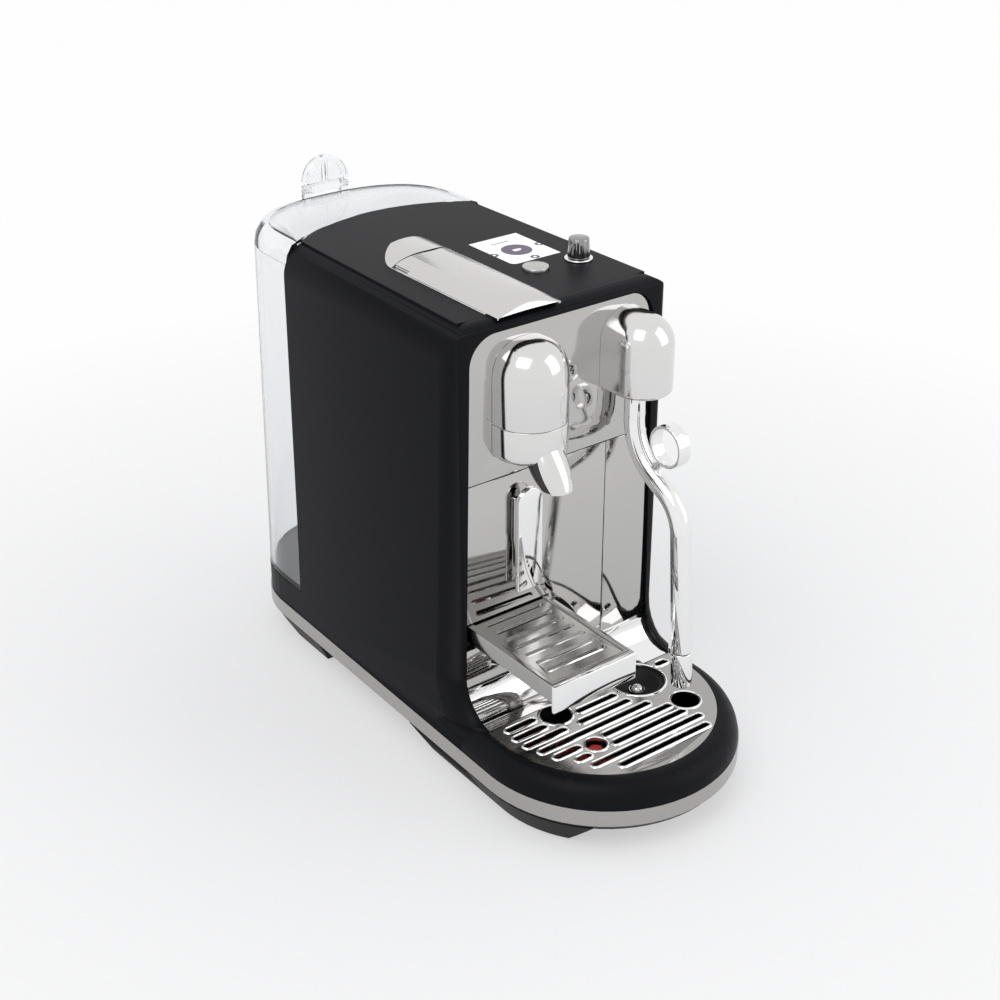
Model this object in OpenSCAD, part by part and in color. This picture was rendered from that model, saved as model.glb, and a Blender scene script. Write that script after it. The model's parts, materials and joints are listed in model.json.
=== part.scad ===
// Pod coffee machine. Millimetres, +Z up, +X right, the front faces -Y.
// The origin is on the floor, at the middle of the machine's plan.
// Each module places its piece in the machine's own frame, where Y = 0 is the polished front face.

/* [Base] */
// Reach of the drip tray in front of the front face
front_reach = 129; // [122:1:140]
// Reach of the water tank behind the front face
rear_reach = 265; // [255:1:285]
// Half width of the base at its round front
base_half = 85.5; // [83:0.5:92]
// How much narrower the base is on each side where its round rear begins
rear_taper = 4.5; // [2:0.5:7]
// Length of the round rear of the base
rear_round = 64; // [60:1:68]
// Height of the rubber feet
foot_h = 2; // [1.5:0.25:3]
// Height of the underside of the pan between the foot pads
pan_z0 = 16.5; // [15:0.5:17.5]
// How far the pan draws in under the band
pan_in = 3; // [2:0.25:5]
// Height of the lower edge of the steel band
band_z0 = 21; // [18:0.5:25]
// Height of the upper edge of the steel band
band_z1 = 32; // [29:0.5:36]
// Thickness of the steel band
band_t = 1.6; // [1:0.1:2.5]
// How far the foot pads draw in at their foot
skirt_in = 10; // [7:0.5:12]
// Inner face of the foot pads, from the machine's middle
pad_x = 40; // [38:0.5:42]
// Wall of the moulded base
pan_wall = 3; // [2:0.25:4]
// Radius of a rubber foot
foot_r = 12; // [9:0.5:13]

/* [Casing] */
// Height of the top face
casing_top = 300; // [290:1:320]
// Wall of the casing
wall = 2.5; // [1.6:0.1:3.5]
// How far the casing stands in from the band
casing_in = 0.6; // [0.3:0.1:1.5]
// Radius of the long top corners
corner_r = 21; // [14:1:28]
// Width of the black border beside the front face
border_w = 12.9; // [10:0.1:15]
// Depth of the rounded front corners
border_d = 28; // [18:1:34]
// How far the border stands in front of the front face
border_lip = 1.5; // [0.5:0.1:3]
// Radius of the rounded top front edge
brow_r = 8; // [6:0.5:12]
// Inward lean of the sides, per millimetre of height
lean = 0.008; // [0:0.001:0.015]
// Radius of the flare from the border into the tray rim
flare_r = 28; // [18:1:32]
// Length of the tank behind the sides of the casing
tank_side_len = 86; // [76:1:96]
// Radius of the round back of the casing
back_r = 110; // [100:1:130]
// Length of the tank behind the round back of the casing
tank_mid_len = 65.3; // [60:0.1:72]
// How far the top panel draws in from the edge of the front face
top_inset = 3.5; // [2:0.5:7]
// Seam of the top panel behind the front face
top_front = 9; // [8:0.5:12]

/* [Front face] */
// Height of the lower edge of the front face
face_z0 = 64.2; // [60:0.2:70]
// Height of the upper edge of the front face
face_z1 = 293; // [286:0.5:293]
// Thickness of the polished plates
face_t = 2; // [1:0.1:2]
// Inward lean of the edges of the front face
face_lean = 0.0205; // [0.01:0.0005:0.03]
// Radius of its top corners
face_r = 18; // [10:1:22]
// Height of the level joint
split_z = 201.8; // [199:0.2:202.4]
// Distance of the upright joint from the right edge of the front face
split_gap = 37; // [36:0.5:42]
// Gap at the joints
face_gap = 0.5; // [0.3:0.1:1]

/* [Drip tray] */
// Width of the tray rim at the sides
rim_w = 12.3; // [10:0.1:14]
// Width of the tray rim at the front
rim_front = 15.4; // [12:0.1:18]
// Height of the top of the grid
grid_z = 47.5; // [44:0.5:52]
// Thickness of the grid
grid_t = 2; // [1.2:0.1:3]
// Place of the joint between tray and casing at the band
seam_out = -10; // [-14:0.5:-6]
// Place of the rear edge of the grid
seam_in = -24; // [-28:0.5:-20]
// Spacing of the grid slots
slot_pitch = 9.6; // [9:0.1:11]
// Width of a grid slot
slot_w = 4; // [3:0.1:5]
// Radius of the well for the jug sensor
well_r = 17.5; // [15:0.5:19]
// Radius of the float
float_r = 15; // [11:0.5:17]

/* [Cup support and capsule container] */
// Height of the top of the cup support
cup_z = 109.5; // [106:0.5:116]
// Height of the front plate of the cup support
cup_plate_h = 17.5; // [15:0.5:20]
// Width of the cup support
cup_w = 61.5; // [56:0.5:64]
// Reach of the cup support when it is out
cup_reach = 83; // [70:1:90]
// Length of the cup support
cup_len = 101; // [96:1:102]
// Depth of the capsule container
bin_depth = 104; // [103:1:120]
// Width of the container handle
pull_w = 18; // [14:0.5:22]
// Height of the container handle
pull_h = 68; // [50:1:75]
// How far the container handle stands out
pull_d = 9; // [7:0.5:12]

/* [Brew head] */
// Middle of the brew head, from the left edge of the front face
brew_gap = 43.5; // [42:0.5:44]
// Half width of the brew head
brew_half = 23; // [22:0.5:24]
// Height of its lower edge
brew_z0 = 215.5; // [213:0.5:217]
// Height of its crown
brew_z1 = 286.5; // [284:0.5:288]
// Height of the dome that closes it
brew_dome = 24; // [20:0.5:26]
// Reach of the brew head
brew_reach = 28; // [26:0.5:31]
// Depth of the hidden frame that carries it on the front face
brew_collar_d = 3; // [2:0.5:4]
// Height of its seam
brew_seam = 237.5; // [235:0.5:240]
// Height of the end of the spout
spout_z = 202; // [202:0.5:205]
// Radius of the end of the spout
spout_r = 9.5; // [8:0.5:10.5]
// Reach of the middle of the spout's end
spout_reach = 31; // [28:0.5:34]
// Wall of the polished heads
head_wall = 2; // [1.4:0.1:2.6]

/* [Steam head and wand] */
// Middle of the steam head, from the right edge of the front face
steam_gap = 25.5; // [24.5:0.5:27]
// Half width of the steam head
steam_half = 18.5; // [17.5:0.5:19.5]
// Height of its lower edge
steam_z0 = 238.5; // [236:0.5:240]
// Height of its crown
steam_z1 = 287; // [285:0.5:289]
// Reach of the steam head
steam_reach = 35.5; // [34:0.5:38]
// Depth of the hidden frame that carries it on the front face
steam_collar_d = 5; // [4:0.5:7]
// Radius of the wand
wand_r = 6.4; // [5.5:0.1:7]
// Distance of the wand's pivot in front of the front face
wand_y = 11.6; // [11:0.1:13]
// Height of the wand's pivot
wand_z = 248.5; // [247.5:0.5:250]
// Radius of the wand's pivot pin
wand_pin_r = 3; // [2:0.25:3.5]
// Straight length below the pivot
wand_drop = 29.5; // [27:0.5:32]
// Angle of the sloping part from upright
wand_bend = 62; // [56:1:65]
// Radius of the upper bend
wand_bend_r = 36; // [33:0.5:38]
// Radius of the lower bend
wand_low_r = 28; // [25:0.5:31]
// Length of the sloping part
wand_slope = 13; // [11:0.5:15]
// Height of the wand's tip
wand_tip_z = 56; // [54:0.5:60]
// Outer radius of the finger ring
ring_r = 13.3; // [12:0.1:14]
// Width of the finger ring
ring_w = 9; // [7:0.5:11]
// Thickness of the finger ring
ring_t = 2; // [1.4:0.1:2.6]
// Gap between the finger ring and the wand
ring_gap = 8.5; // [7:0.5:10]

/* [Lever] */
// Middle of the lever, left of the middle of the machine
lever_off = 25.5; // [25:0.5:26.5]
// Width of the lever
lever_w = 45; // [42:0.5:46]
// Length of the lever in front of its pivot
lever_len = 90; // [86:1:93]
// Place of the lever's pivot
lever_pin_y = 90.5; // [88:0.5:94]
// Radius of the lever's pin
lever_pin_r = 2.5; // [1.5:0.1:3]
// How high the lever's crown stands over the top
lever_rise = 8.5; // [7:0.5:11]
// Thickness of the lever
lever_t = 3; // [2:0.1:4]
// Length of the fixed end piece behind the lever's pivot
cap_len = 34; // [30:1:38]
// Radius of the capsule opening
chute_r = 18; // [16:0.5:18]

/* [Controls] */
// Width of the display
display_w = 36.5; // [32:0.5:40]
// Length of the display
display_l = 45; // [40:0.5:48]
// Middle of the display, from the right edge of the front face
display_gap = 40.2; // [38:0.1:42]
// Middle of the display from the front face
display_y = 87.5; // [86:0.5:92]
// Radius of the start button
button_r = 8; // [6:0.5:8.5]
// Middle of the start button, from the edge of the lever
button_gap = 23; // [22:0.5:25]
// Middle of the start button from the front face
button_y = 51.5; // [48:0.5:53]
// Travel of the start button
button_travel = 1.5; // [1:0.1:2]
// Radius of the dial at its foot
dial_r = 7; // [5:0.5:8]
// Height of the dial
dial_h = 12; // [9:0.5:16]
// Middle of the dial, from the right edge of the front face
dial_gap = 21; // [18:0.5:22]
// Middle of the dial from the front face
dial_y = 49; // [46:0.5:54]

/* [Water tank] */
// Height of the underside of the tank
tank_z0 = 52; // [46:0.5:58]
// Height of the rim of the tank
tank_z1 = 286; // [278:0.5:290]
// Wall of the tank
tank_wall = 2.5; // [1.8:0.1:3.5]
// How far the tank draws in from foot to rim
tank_draw = 4; // [2:0.5:6]
// Radius of the outlet valve
valve_r = 8; // [6:0.5:9]
// Width of the lifting handle
handle_w = 34; // [28:0.5:38]
// Height of the lifting handle
handle_h = 22; // [19:0.5:26]
// Thickness of the lifting handle
handle_t = 5; // [4:0.5:7]
// Distance of the lifting handle from the rear of the tank
handle_gap = 10.5; // [10:0.5:14]

/* [Fits] */
// Running clearance of pins and bores, on the radius
fit = 0.05; // [0.02:0.01:0.1]
// Gap around pieces that slide or lift out
slide_gap = 0.4; // [0.3:0.05:0.8]

/* [Hidden] */
$fn = 64;

black = [0.08, 0.085, 0.1];
dark = [0.16, 0.16, 0.16];
steel = [0.72, 0.72, 0.7];
chrome = [0.85, 0.85, 0.86];
clear = [0.85, 0.9, 0.93, 0.4];

fascia_y = (front_reach - rear_reach) / 2;
front_cy = base_half - front_reach;
rear_half = base_half - rear_taper;
rear_cy = rear_reach - rear_round;
rear_power = 2 / 2.4;
taper = (base_half - rear_half) / (rear_cy - front_cy);
taper_a = atan(taper);
grid_r = base_half - rim_w;
grid_cy = grid_r + rim_front - front_reach;
casing_half = base_half - casing_in;
face_half = casing_half - border_w;
back_y = rear_reach - tank_mid_len;
casing_back = rear_reach - tank_side_len;
back_cy = back_y - back_r;
top_half = face_half - top_inset;
split_x = face_half - split_gap;
brew_x = brew_gap - face_half;
brew_y = brew_half - brew_reach;
steam_x = face_half - steam_gap;
steam_y = steam_half - steam_reach;
lever_x = -lever_off;
display_x = face_half - display_gap;
button_x = lever_x + lever_w / 2 + button_gap;
dial_x = face_half - dial_gap;
handle_y = rear_reach - handle_gap;
cup_x0 = 0.9 + face_lean * (cup_z - face_z0) - face_half;
cup_x1 = cup_x0 + cup_w;
board_z = casing_top - 12;
shelf_z = split_z + 2.2;
shelf_t = 3;
handle_z = casing_top + 3;
splash_t = 1.5;
tongue_w = 40;
shaft_r = 3;
valve_y = rear_cy + 20;
cage_z = shelf_z + shelf_t + 31;
trim_x0 = lever_x - lever_w / 2 - 0.5;
trim_x1 = lever_x + lever_w / 2 + 0.5;
trim_y0 = top_front + 1.5;
lever_pin_z = casing_top - 3.5;
lever_heel = casing_top + 1 + lever_rise - lever_pin_z;
trim_y1 = lever_pin_y + lever_heel + 1;
screw_r = 1.6;
screw_head_r = 3.4;
screw_places = [for (y = [40, casing_back - 22]) for (x = [-30, 30]) [x, y]];
floor_z = pan_z0 + pan_wall;
tray_foot_r = foot_r - 3;
tray_foot_a = -22;
pad_a = -36;
gland_x = 25;
gland_r = 6.5;
gland_len = 24;
gland_z = band_z1 + 8;
cord_r = 3.5;
dock_wall = 3;
dock_z1 = tank_z0 - 0.5;
float_x = -0.673 * (grid_r - 19.7);
float_y = grid_cy - 0.74 * (grid_r - 19.7);
float_pin_r = 2.5;
well_x = grid_r - 37.2;
well_y = grid_cy + 4.4;

// Each inner grid slot: row, counted from the rear, then how far its ends stay inside the
// left and right edges of the grid.
slots = [
    [3, 58, 61], [4, 52, 58], [5, 14, 50], [6, 55, 41], [7, 55, 38], [8, 31, 33], [9, 44, 36]
];
// Each outer grid slot: row, side, how far its inner end stays inside the edge of the grid,
// then how far its outer end stays inside the rim.
rim_slots = [
    [2, -1, 29, 1.6], [3, -1, 30, 0.2], [4, -1, 38, 0.2], [6, -1, 33, 1.4], [7, -1, 33, 4.4],
    [2, 1, 15, 0.2]
];
grid_holes = [
    [44 - grid_r, grid_cy + 5.4, 10], [float_x + 7, float_y + 7, 6.5],
    [0.829 * (grid_r - 18.8), grid_cy - 0.559 * (grid_r - 18.8), 9]
];

bin_x0 = 4 - face_half;
bin_x1 = split_x - 3;
slot_z0 = cup_z - cup_plate_h - 0.5;
slot_z1 = cup_z + 0.5;
pull_x = 42.5 - face_half;
pull_top = split_z - 8.5;
cup_plate_t = 2.5;
cup_y0 = cup_plate_t - cup_reach;
cup_edge = 4.5;
cup_pocket = 3;
cup_depth = 11;
chamber_x = lever_x;
outlet_r = 6;
cage_y0 = face_t + 8.5;
cage_len = 34;
cage_r = 17;
ram_r = 5;
fork_half = 8;
pump_r = 16;
pump_x = split_x + 5.5 + pump_r;
pump_z = face_z0 - 1.5 + pump_r;
pump_y = face_t + 30;
pump_len = 60;
pump_neck = 20;
hose_y = pump_y + pump_len + pump_neck + 9;
heater_y = 40;
heater_len = 78;
heater_h = 46;
board_h = 66;
frame_arm = cage_r + 3;
ram_len = 46;
chute_len = 40;
chute_y = cage_y0 + 28;

wand_end_lean = 4.5;

slope_y = -wand_y - wand_bend_r * (1 - cos(wand_bend)) - wand_slope * sin(wand_bend);
slope_z = wand_z - wand_drop - wand_bend_r * sin(wand_bend) - wand_slope * cos(wand_bend);
turn = wand_bend - wand_end_lean;
end_y = slope_y - wand_low_r * (cos(wand_end_lean) - cos(wand_bend));
end_z = slope_z - wand_low_r * (sin(wand_bend) - sin(wand_end_lean));
tip_len = 23;
wand_end_len = (end_z - wand_tip_z) / cos(wand_end_lean);

// The wand's centre line from the pivot down to the tip: [y, z, slope from upright].
wand_path = concat(
    [[-wand_y, wand_z - 2, 0]],
    [for (k = [0:12]) let (a = wand_bend * k / 12) [
        -wand_y - wand_bend_r * (1 - cos(a)), wand_z - wand_drop - wand_bend_r * sin(a), a
    ]],
    [for (k = [12:-1:0]) let (a = wand_end_lean + turn * k / 12) [
        slope_y + wand_low_r * (cos(wand_bend) - cos(a)),
        slope_z - wand_low_r * (sin(wand_bend) - sin(a)), a
    ]],
    [[
        end_y - (wand_end_len - tip_len) * sin(wand_end_lean),
        end_z - (wand_end_len - tip_len) * cos(wand_end_lean), wand_end_lean
    ]]
);

// One ring of points, of radius r, for each place on the wand's centre line.
function wand_rings(r) = [for (p = wand_path) [for (t = [0:15:345]) [
    r * cos(t), p[0] + r * sin(t) * cos(p[2]), p[1] - r * sin(t) * sin(p[2])
]]];

// The ring stands on the upper end of the sloping part of the wand.
ring_base_y = slope_y + wand_slope * sin(wand_bend);
ring_base_z = slope_z + wand_slope * cos(wand_bend);
ring_stand = wand_r + ring_gap + ring_r;
ring_y = ring_base_y - ring_stand * cos(wand_bend);
ring_z = ring_base_z + ring_stand * sin(wand_bend);

// ---- shared outlines and forms ----

function signed_pow(v, e) = sign(v) * pow(abs(v), e);
function side_x(y) = base_half - taper * (y - front_cy);
function face_x(z) = face_half - face_lean * (z - face_z0);

// The plan of the base, drawn in by i all round.
function base_plan(i) = concat(
    [for (a = [180:5:360]) [(base_half - i) * cos(a), front_cy + (base_half - i) * sin(a)]],
    [for (a = [0:6:180]) [
        (rear_half - i) * signed_pow(cos(a), rear_power),
        rear_cy + (rear_reach - rear_cy - i) * signed_pow(sin(a), rear_power)
    ]]
);

module machine() {
    translate([0, fascia_y, 0]) children();
}

module mirrored() {
    children();
    mirror([1, 0, 0]) children();
}

module slab(i, z, t) {
    translate([0, 0, z]) linear_extrude(t) polygon(base_plan(i));
}

// Everything in front of the joint between the tray and the casing, less c.
module tray_zone(c) {
    translate([0, 0, -1]) linear_extrude(casing_top) polygon([
        [-300, -300], [300, -300], [300, seam_out - c], [base_half + 1, seam_out - c],
        [grid_r, seam_in - c], [-grid_r, seam_in - c], [-base_half - 1, seam_out - c],
        [-300, seam_out - c]
    ]);
}

// A prism along X from a side outline of [y, z] points.
module along_x(x0, x1) {
    translate([x0, 0, 0]) rotate([90, 0, 90]) linear_extrude(x1 - x0) children();
}

// A prism along Y from a front outline of [x, z] points.
module along_y(y0, y1) {
    translate([0, y1, 0]) rotate([90, 0, 0]) linear_extrude(y1 - y0) children();
}

module box(x0, x1, y0, y1, z0, z1) {
    translate([x0, y0, z0]) cube([x1 - x0, y1 - y0, z1 - z0]);
}

module box2d(x0, x1, y0, y1) {
    translate([x0, y0]) square([x1 - x0, y1 - y0]);
}

module rod_x(x0, x1, y, z, r) {
    translate([x0, y, z]) rotate([0, 90, 0]) cylinder(r = r, h = x1 - x0);
}

module rod_y(x, y0, y1, z, r) {
    translate([x, y1, z]) rotate([90, 0, 0]) cylinder(r = r, h = y1 - y0);
}

module rod_z(x, y, z0, z1, r) {
    translate([x, y, z0]) cylinder(r = r, h = z1 - z0);
}

// A closed skin over rings of points, listed from the top down, each anticlockwise from above.
module loft(rings) {
    n = len(rings[0]);
    last = len(rings) - 1;
    polyhedron(
        [for (ring = rings) each ring],
        concat(
            [[for (k = [n - 1:-1:0]) k], [for (k = [0:n - 1]) last * n + k]],
            [for (j = [0:last - 1]) for (k = [0:n - 1]) let (m = (k + 1) % n) each [
                [j * n + k, j * n + m, (j + 1) * n + m],
                [j * n + k, (j + 1) * n + m, (j + 1) * n + k]
            ]]
        )
    );
}

// ---- base ----

// The pads that carry the feet: one at each rear corner and one from each side round the front.
module foot_pads() {
    top = pan_z0 + 1;
    intersection() {
        hull() {
            slab(skirt_in, foot_h, 0.2);
            slab(casing_in, band_z0 - 0.2, 0.2);
        }
        mirrored() {
            along_x(pad_x, base_half) polygon([
                [rear_cy - 41, top], [rear_cy - 38, foot_h], [rear_cy + 1, foot_h], [rear_cy + 13, top]
            ]);
            intersection() {
                along_x(pad_x, base_half) polygon([
                    [-front_reach, top], [-front_reach, foot_h], [33, foot_h], [49, top]
                ]);
                translate([0, front_cy, 0]) rotate([0, 0, pad_a]) along_x(0, 2 * base_half)
                    polygon([[-16, top], [0, foot_h], [2 * base_half, foot_h], [2 * base_half, top]]);
            }
        }
    }
}

// The outside of the pan under the steel band.
module skirt_form() {
    hull() {
        slab(casing_in + pan_in, pan_z0, 0.2);
        slab(casing_in, band_z0 - 0.2, 0.2);
    }
    slab(band_t + 0.1, band_z0 - 0.1, band_z1 - band_z0 + 0.1);
    foot_pads();
}

module base_pan() color(dark) machine() {
    difference() {
        skirt_form();
        tray_zone(0);
        translate([0, 0, floor_z]) linear_extrude(band_z1) intersection() {
            polygon(base_plan(skirt_in + pan_wall));
            translate([-150, seam_in + 3]) square([300, 400]);
        }
        tongue_slot();
        for (p = screw_places) {
            rod_z(p[0], p[1], 0, pan_z0 + 2, screw_head_r + 0.3);
            rod_z(p[0], p[1], 0, floor_z + 1, screw_r + fit);
        }
    }
    mirrored() box(tongue_w / 2 + 1, tongue_w / 2 + 4, seam_in + 3, seam_in + 55, floor_z, floor_z + 5);
    difference() {
        box(-grid_r + 3, grid_r - 3, seam_in, seam_in + 3, floor_z, grid_z - 4);
        tongue_slot();
        box(well_x - well_r - 3, well_x + well_r + 3, seam_in - 1, seam_in + 4,
            grid_z - grid_t - 10, grid_z);
    }
}

// The opening that the tray's tongue slides through.
module tongue_slot() {
    box(-tongue_w / 2 - 1, tongue_w / 2 + 1, seam_in - 1, seam_in + 4, floor_z, floor_z + 8);
}

module base_band() color(steel) machine() {
    difference() {
        slab(0, band_z0, band_z1 - band_z0);
        slab(band_t, band_z0 - 1, band_z1);
        tray_zone(0);
    }
}

module foot(x, y, r) {
    translate([x, y, 0]) cylinder(r1 = r - 1.5, r2 = r, h = foot_h);
}

module base_feet() color([0.1, 0.1, 0.1]) machine() {
    mirrored() for (y = [12, rear_cy - 19]) foot(side_x(y) - skirt_in - foot_r - 1, y, foot_r);
}

module base_screws() color(chrome) machine() {
    for (p = screw_places) {
        rod_z(p[0], p[1], pan_z0 + 0.4, pan_z0 + 2, screw_head_r);
        rod_z(p[0], p[1], pan_z0 + 2, floor_z + 12, screw_r);
    }
}

module cord_gland() color(dark) machine() {
    y1 = rear_reach - 0.5;
    difference() {
        union() {
            rod_y(gland_x, y1 - gland_len, y1, gland_z, gland_r);
            rod_y(gland_x, y1 - gland_len, y1 - gland_len + 10, gland_z, gland_r + 1.5);
        }
        rod_y(gland_x, rear_cy, rear_reach, gland_z, cord_r);
    }
}

// The plan of the round-backed space that the casing fills, grown by g.
module casing_back2d(g) {
    translate([0, back_cy]) circle(r = back_r + g, $fn = 180);
    translate([-200, -200]) square([400, 200 + casing_back + g]);
}

// The plan of the space behind the casing, drawn in by i.
module dock2d(i) {
    difference() {
        polygon(base_plan(casing_in + 0.2 + i));
        casing_back2d(0.2 + i);
    }
}

module tank_dock() color(black) machine() {
    difference() {
        union() {
            difference() {
                translate([0, 0, band_z1]) linear_extrude(dock_z1 - band_z1) dock2d(0);
                translate([0, 0, band_z1 - 1]) linear_extrude(dock_z1 - band_z1 + 1 - dock_wall)
                    dock2d(dock_wall);
            }
            rod_z(0, valve_y, band_z1, dock_z1, valve_r + 4);
        }
        rod_z(0, valve_y, 0, tank_z0 + 1, valve_r + 0.3);
        rod_y(gland_x, rear_cy + 40, rear_reach, gland_z, gland_r + fit);
    }
}

// ---- casing ----

// Plan of the casing, drawn in by i.
function casing_edge(i) = [for (a = [0:7.5:90]) [
    face_half + (border_w - i) * sin(a),
    border_d - (border_d + border_lip - i) * cos(a)
]];

module casing_plan(i) {
    rear_y = back_y + 20;
    edge = casing_edge(i);
    intersection() {
        union() for (s = [-1, 1]) polygon(concat(
            [[0, i - border_lip]],
            [for (p = edge) [s * p[0], p[1]]],
            [[s * (side_x(rear_y) - casing_in - i), rear_y], [0, rear_y]]
        ));
        casing_back2d(-i);
    }
}

// One side with its rounded top corner, leaning in and following the taper.
module casing_side(i) {
    r = corner_r - i;
    top = casing_top - i;
    cx = casing_half - lean * (casing_top - band_z1) - corner_r;
    cz = casing_top - corner_r;
    translate([casing_half, front_cy, 0]) rotate([0, 0, taper_a]) translate([-casing_half, -front_cy, 0])
        along_y(-250, 400) polygon(concat(
            [[-400, 0], [casing_half - i + lean * band_z1, 0]],
            [for (a = [0:6:90]) [cx + r * cos(a), cz + r * sin(a)]],
            [[-400, top]]
        ));
}

// The rounded top front edge.
module casing_brow(i) {
    r = brow_r - i;
    along_x(-200, 200) polygon(concat(
        [[400, 0], [i - border_lip, 0]],
        [for (a = [180:-7.5:90]) [
            brow_r - border_lip + r * cos(a),
            casing_top - brow_r + r * sin(a)
        ]],
        [[400, casing_top - i]]
    ));
}

module casing_form(i, z0) {
    intersection() {
        translate([0, 0, z0]) linear_extrude(casing_top - z0) casing_plan(i);
        casing_side(i);
        mirror([1, 0, 0]) casing_side(i);
        casing_brow(i);
    }
}

// Outline of the front face grown by g, between two heights.
module face2d(z0, z1, g) {
    r = face_r + g;
    cx = face_x(face_z1 - face_r) - face_r;
    cz = face_z1 - face_r;
    intersection() {
        polygon(concat(
            [[-face_x(face_z0) - g, face_z0 - g], [face_x(face_z0) + g, face_z0 - g]],
            [for (a = [0:6:90]) [cx + r * cos(a), cz + r * sin(a)]],
            [for (a = [90:6:180]) [-cx + r * cos(a), cz + r * sin(a)]]
        ));
        translate([-200, z0]) square([400, z1 - z0]);
    }
}

// Plan of one flared cheek of the casing at height z, as a ring of points.
function cheek_ring(z) =
    let (f = flare_r - sqrt(pow(flare_r, 2) - pow(flare_r + grid_z - z, 2)), x = face_half + 0.3)
    concat(
        [[x, border_d, z], [x, -border_lip - f, z]],
        [for (a = [10:10:90]) [
            x + (border_w - 0.3) * sin(a), border_d - (border_d + border_lip + f) * cos(a), z
        ]]
    );

module cheek() {
    steps = [1, 0.75, 0.5, 0.3, 0.15, 0.05, 0];
    loft([for (k = steps) cheek_ring(grid_z + flare_r * k)]);
}

// Cross-section of the rounded rim, from its inner edge out to the band.
module rim2d(x_in) {
    polygon(concat(
        [[x_in, band_z1]],
        [for (a = [0:7.5:90]) [
            grid_r + (rim_w - casing_in) * cos(a),
            band_z1 + (grid_z - band_z1) * sin(a)
        ]],
        [[x_in, grid_z]]
    ));
}

module casing() color(black) machine() {
    difference() {
        casing_form(0, band_z1);
        casing_form(wall, band_z1 - 1);
        along_y(-60, border_d) face2d(face_z0, face_z1 + 1, 0.3);
        box(-face_half - 0.3, face_half + 0.3, -60, border_d, band_z1 - 2, face_z0 + 1);
        translate([0, 0, casing_top - wall - 2]) linear_extrude(wall + 3) top_outline(0.25);
    }
    mirrored() difference() {
        intersection() {
            union() {
                cheek();
                along_y(-60, border_d) rim2d(face_half + 0.3);
            }
            casing_side(0);
        }
        tray_zone(0);
        casing_form(wall, band_z1 - 1);
    }
}

// Plan of the top panel, grown by g.
module top_outline(g) {
    rear_w = top_half - taper * (back_y - top_front);
    intersection() {
        polygon([
            [-top_half - g, top_front - g], [top_half + g, top_front - g],
            [rear_w + g, back_y + 1], [-rear_w - g, back_y + 1]
        ]);
        translate([0, back_cy]) circle(r = back_r, $fn = 180);
    }
}

module display2d(g) {
    x0 = display_x - display_w / 2 - g;
    x1 = display_x + display_w / 2 + g;
    y0 = display_y - display_l / 2 - g;
    y1 = display_y + display_l / 2 + g;
    difference() {
        translate([x0, y0]) square([x1 - x0, y1 - y0]);
        difference() {
            translate([x0 - 1, y0 - 1]) square(5);
            translate([x0 + 4, y0 + 4]) circle(r = 4);
        }
    }
}

module top_panel() color(black) machine() {
    z0 = casing_top - wall;
    difference() {
        translate([0, 0, z0]) linear_extrude(wall) top_outline(0);
        translate([0, 0, casing_top - 1.2]) linear_extrude(2) display2d(0.2);
        translate([0, 0, z0 - 1]) linear_extrude(wall + 2) display2d(-3);
        rod_z(button_x, button_y, z0 - 1, casing_top + 1, button_r + 0.3);
        rod_z(dial_x, dial_y, z0 - 1, casing_top + 1, shaft_r + 0.5);
        box(trim_x0 - 0.2, trim_x1 + 0.2, trim_y0 - 0.2, trim_y1 + 0.2, z0 - 1, casing_top + 1);
    }
}

// ---- chassis ----

module chassis() color([0.2, 0.2, 0.21]) machine() {
    half = face_half - 4;
    y0 = face_t;
    rear = casing_back - 16;
    open_x1 = split_x + 1;
    difference() {
        union() {
            box(-half, half, y0, y0 + 3, shelf_z, face_z1 - 6);
            box(open_x1, half, y0, y0 + 3, floor_z, shelf_z);
            box(-half, half, y0, rear, shelf_z, shelf_z + shelf_t);
            box(8 - half, half - 8, rear - 3, rear, floor_z, casing_top - wall - 1);
            box(-half, half, y0 + 3, rear, face_z0 - 4.5, face_z0 - 1.5);
            box(open_x1, open_x1 + 3, y0 + 3, rear, face_z0 - 4.5, shelf_z);
        }
        box(chamber_x - 18, chamber_x + 18, y0 + 10, y0 + 62, shelf_z - 1, shelf_z + shelf_t + 1);
        rod_y(brew_x, -1, y0 + 4, cage_z, outlet_r + 2);
        rod_y(steam_x, -1, y0 + 4, wand_z + 14, 6);
        box(-6, 6, rear - 4, rear + 1, floor_z - 1, floor_z + 14);
        box(pump_x - 8, pump_x + 8, hose_y - 8, hose_y + 8, face_z0 - 5, face_z0 - 1);
    }
    for (p = screw_places) difference() {
        rod_z(p[0], p[1], floor_z, face_z0 - 4.5, 6);
        rod_z(p[0], p[1], 0, floor_z + 12.5, screw_r + fit);
    }
}

module face_upper() color(chrome) machine() {
    difference() {
        along_y(0, face_t) face2d(split_z + face_gap / 2, face_z1, 0);
        rod_y(brew_x, -1, face_t + 1, cage_z, outlet_r + 1);
        rod_y(steam_x, -1, face_t + 1, wand_z + 14, 6);
    }
}

module face_right() color(chrome) machine() {
    along_y(0, face_t) intersection() {
        face2d(face_z0, split_z - face_gap / 2, 0);
        translate([split_x + face_gap / 2, 0]) square([200, 400]);
    }
}

// A curved apron from the rear edge of the grid up to the front face.
module splash_plate() color(chrome) machine() {
    d = -seam_in - 1;
    h = face_z0 - grid_z;
    half = face_half - 0.2;
    along_x(-half, half) polygon(concat(
        [for (a = [0:9:90]) [-1 - d * (1 - sin(a)), face_z0 - h * cos(a)]],
        [for (a = [90:-9:0]) [splash_t - 1 - d * (1 - sin(a)), face_z0 - (h + splash_t) * cos(a)]]
    ));
}

// ---- drip tray ----

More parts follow.
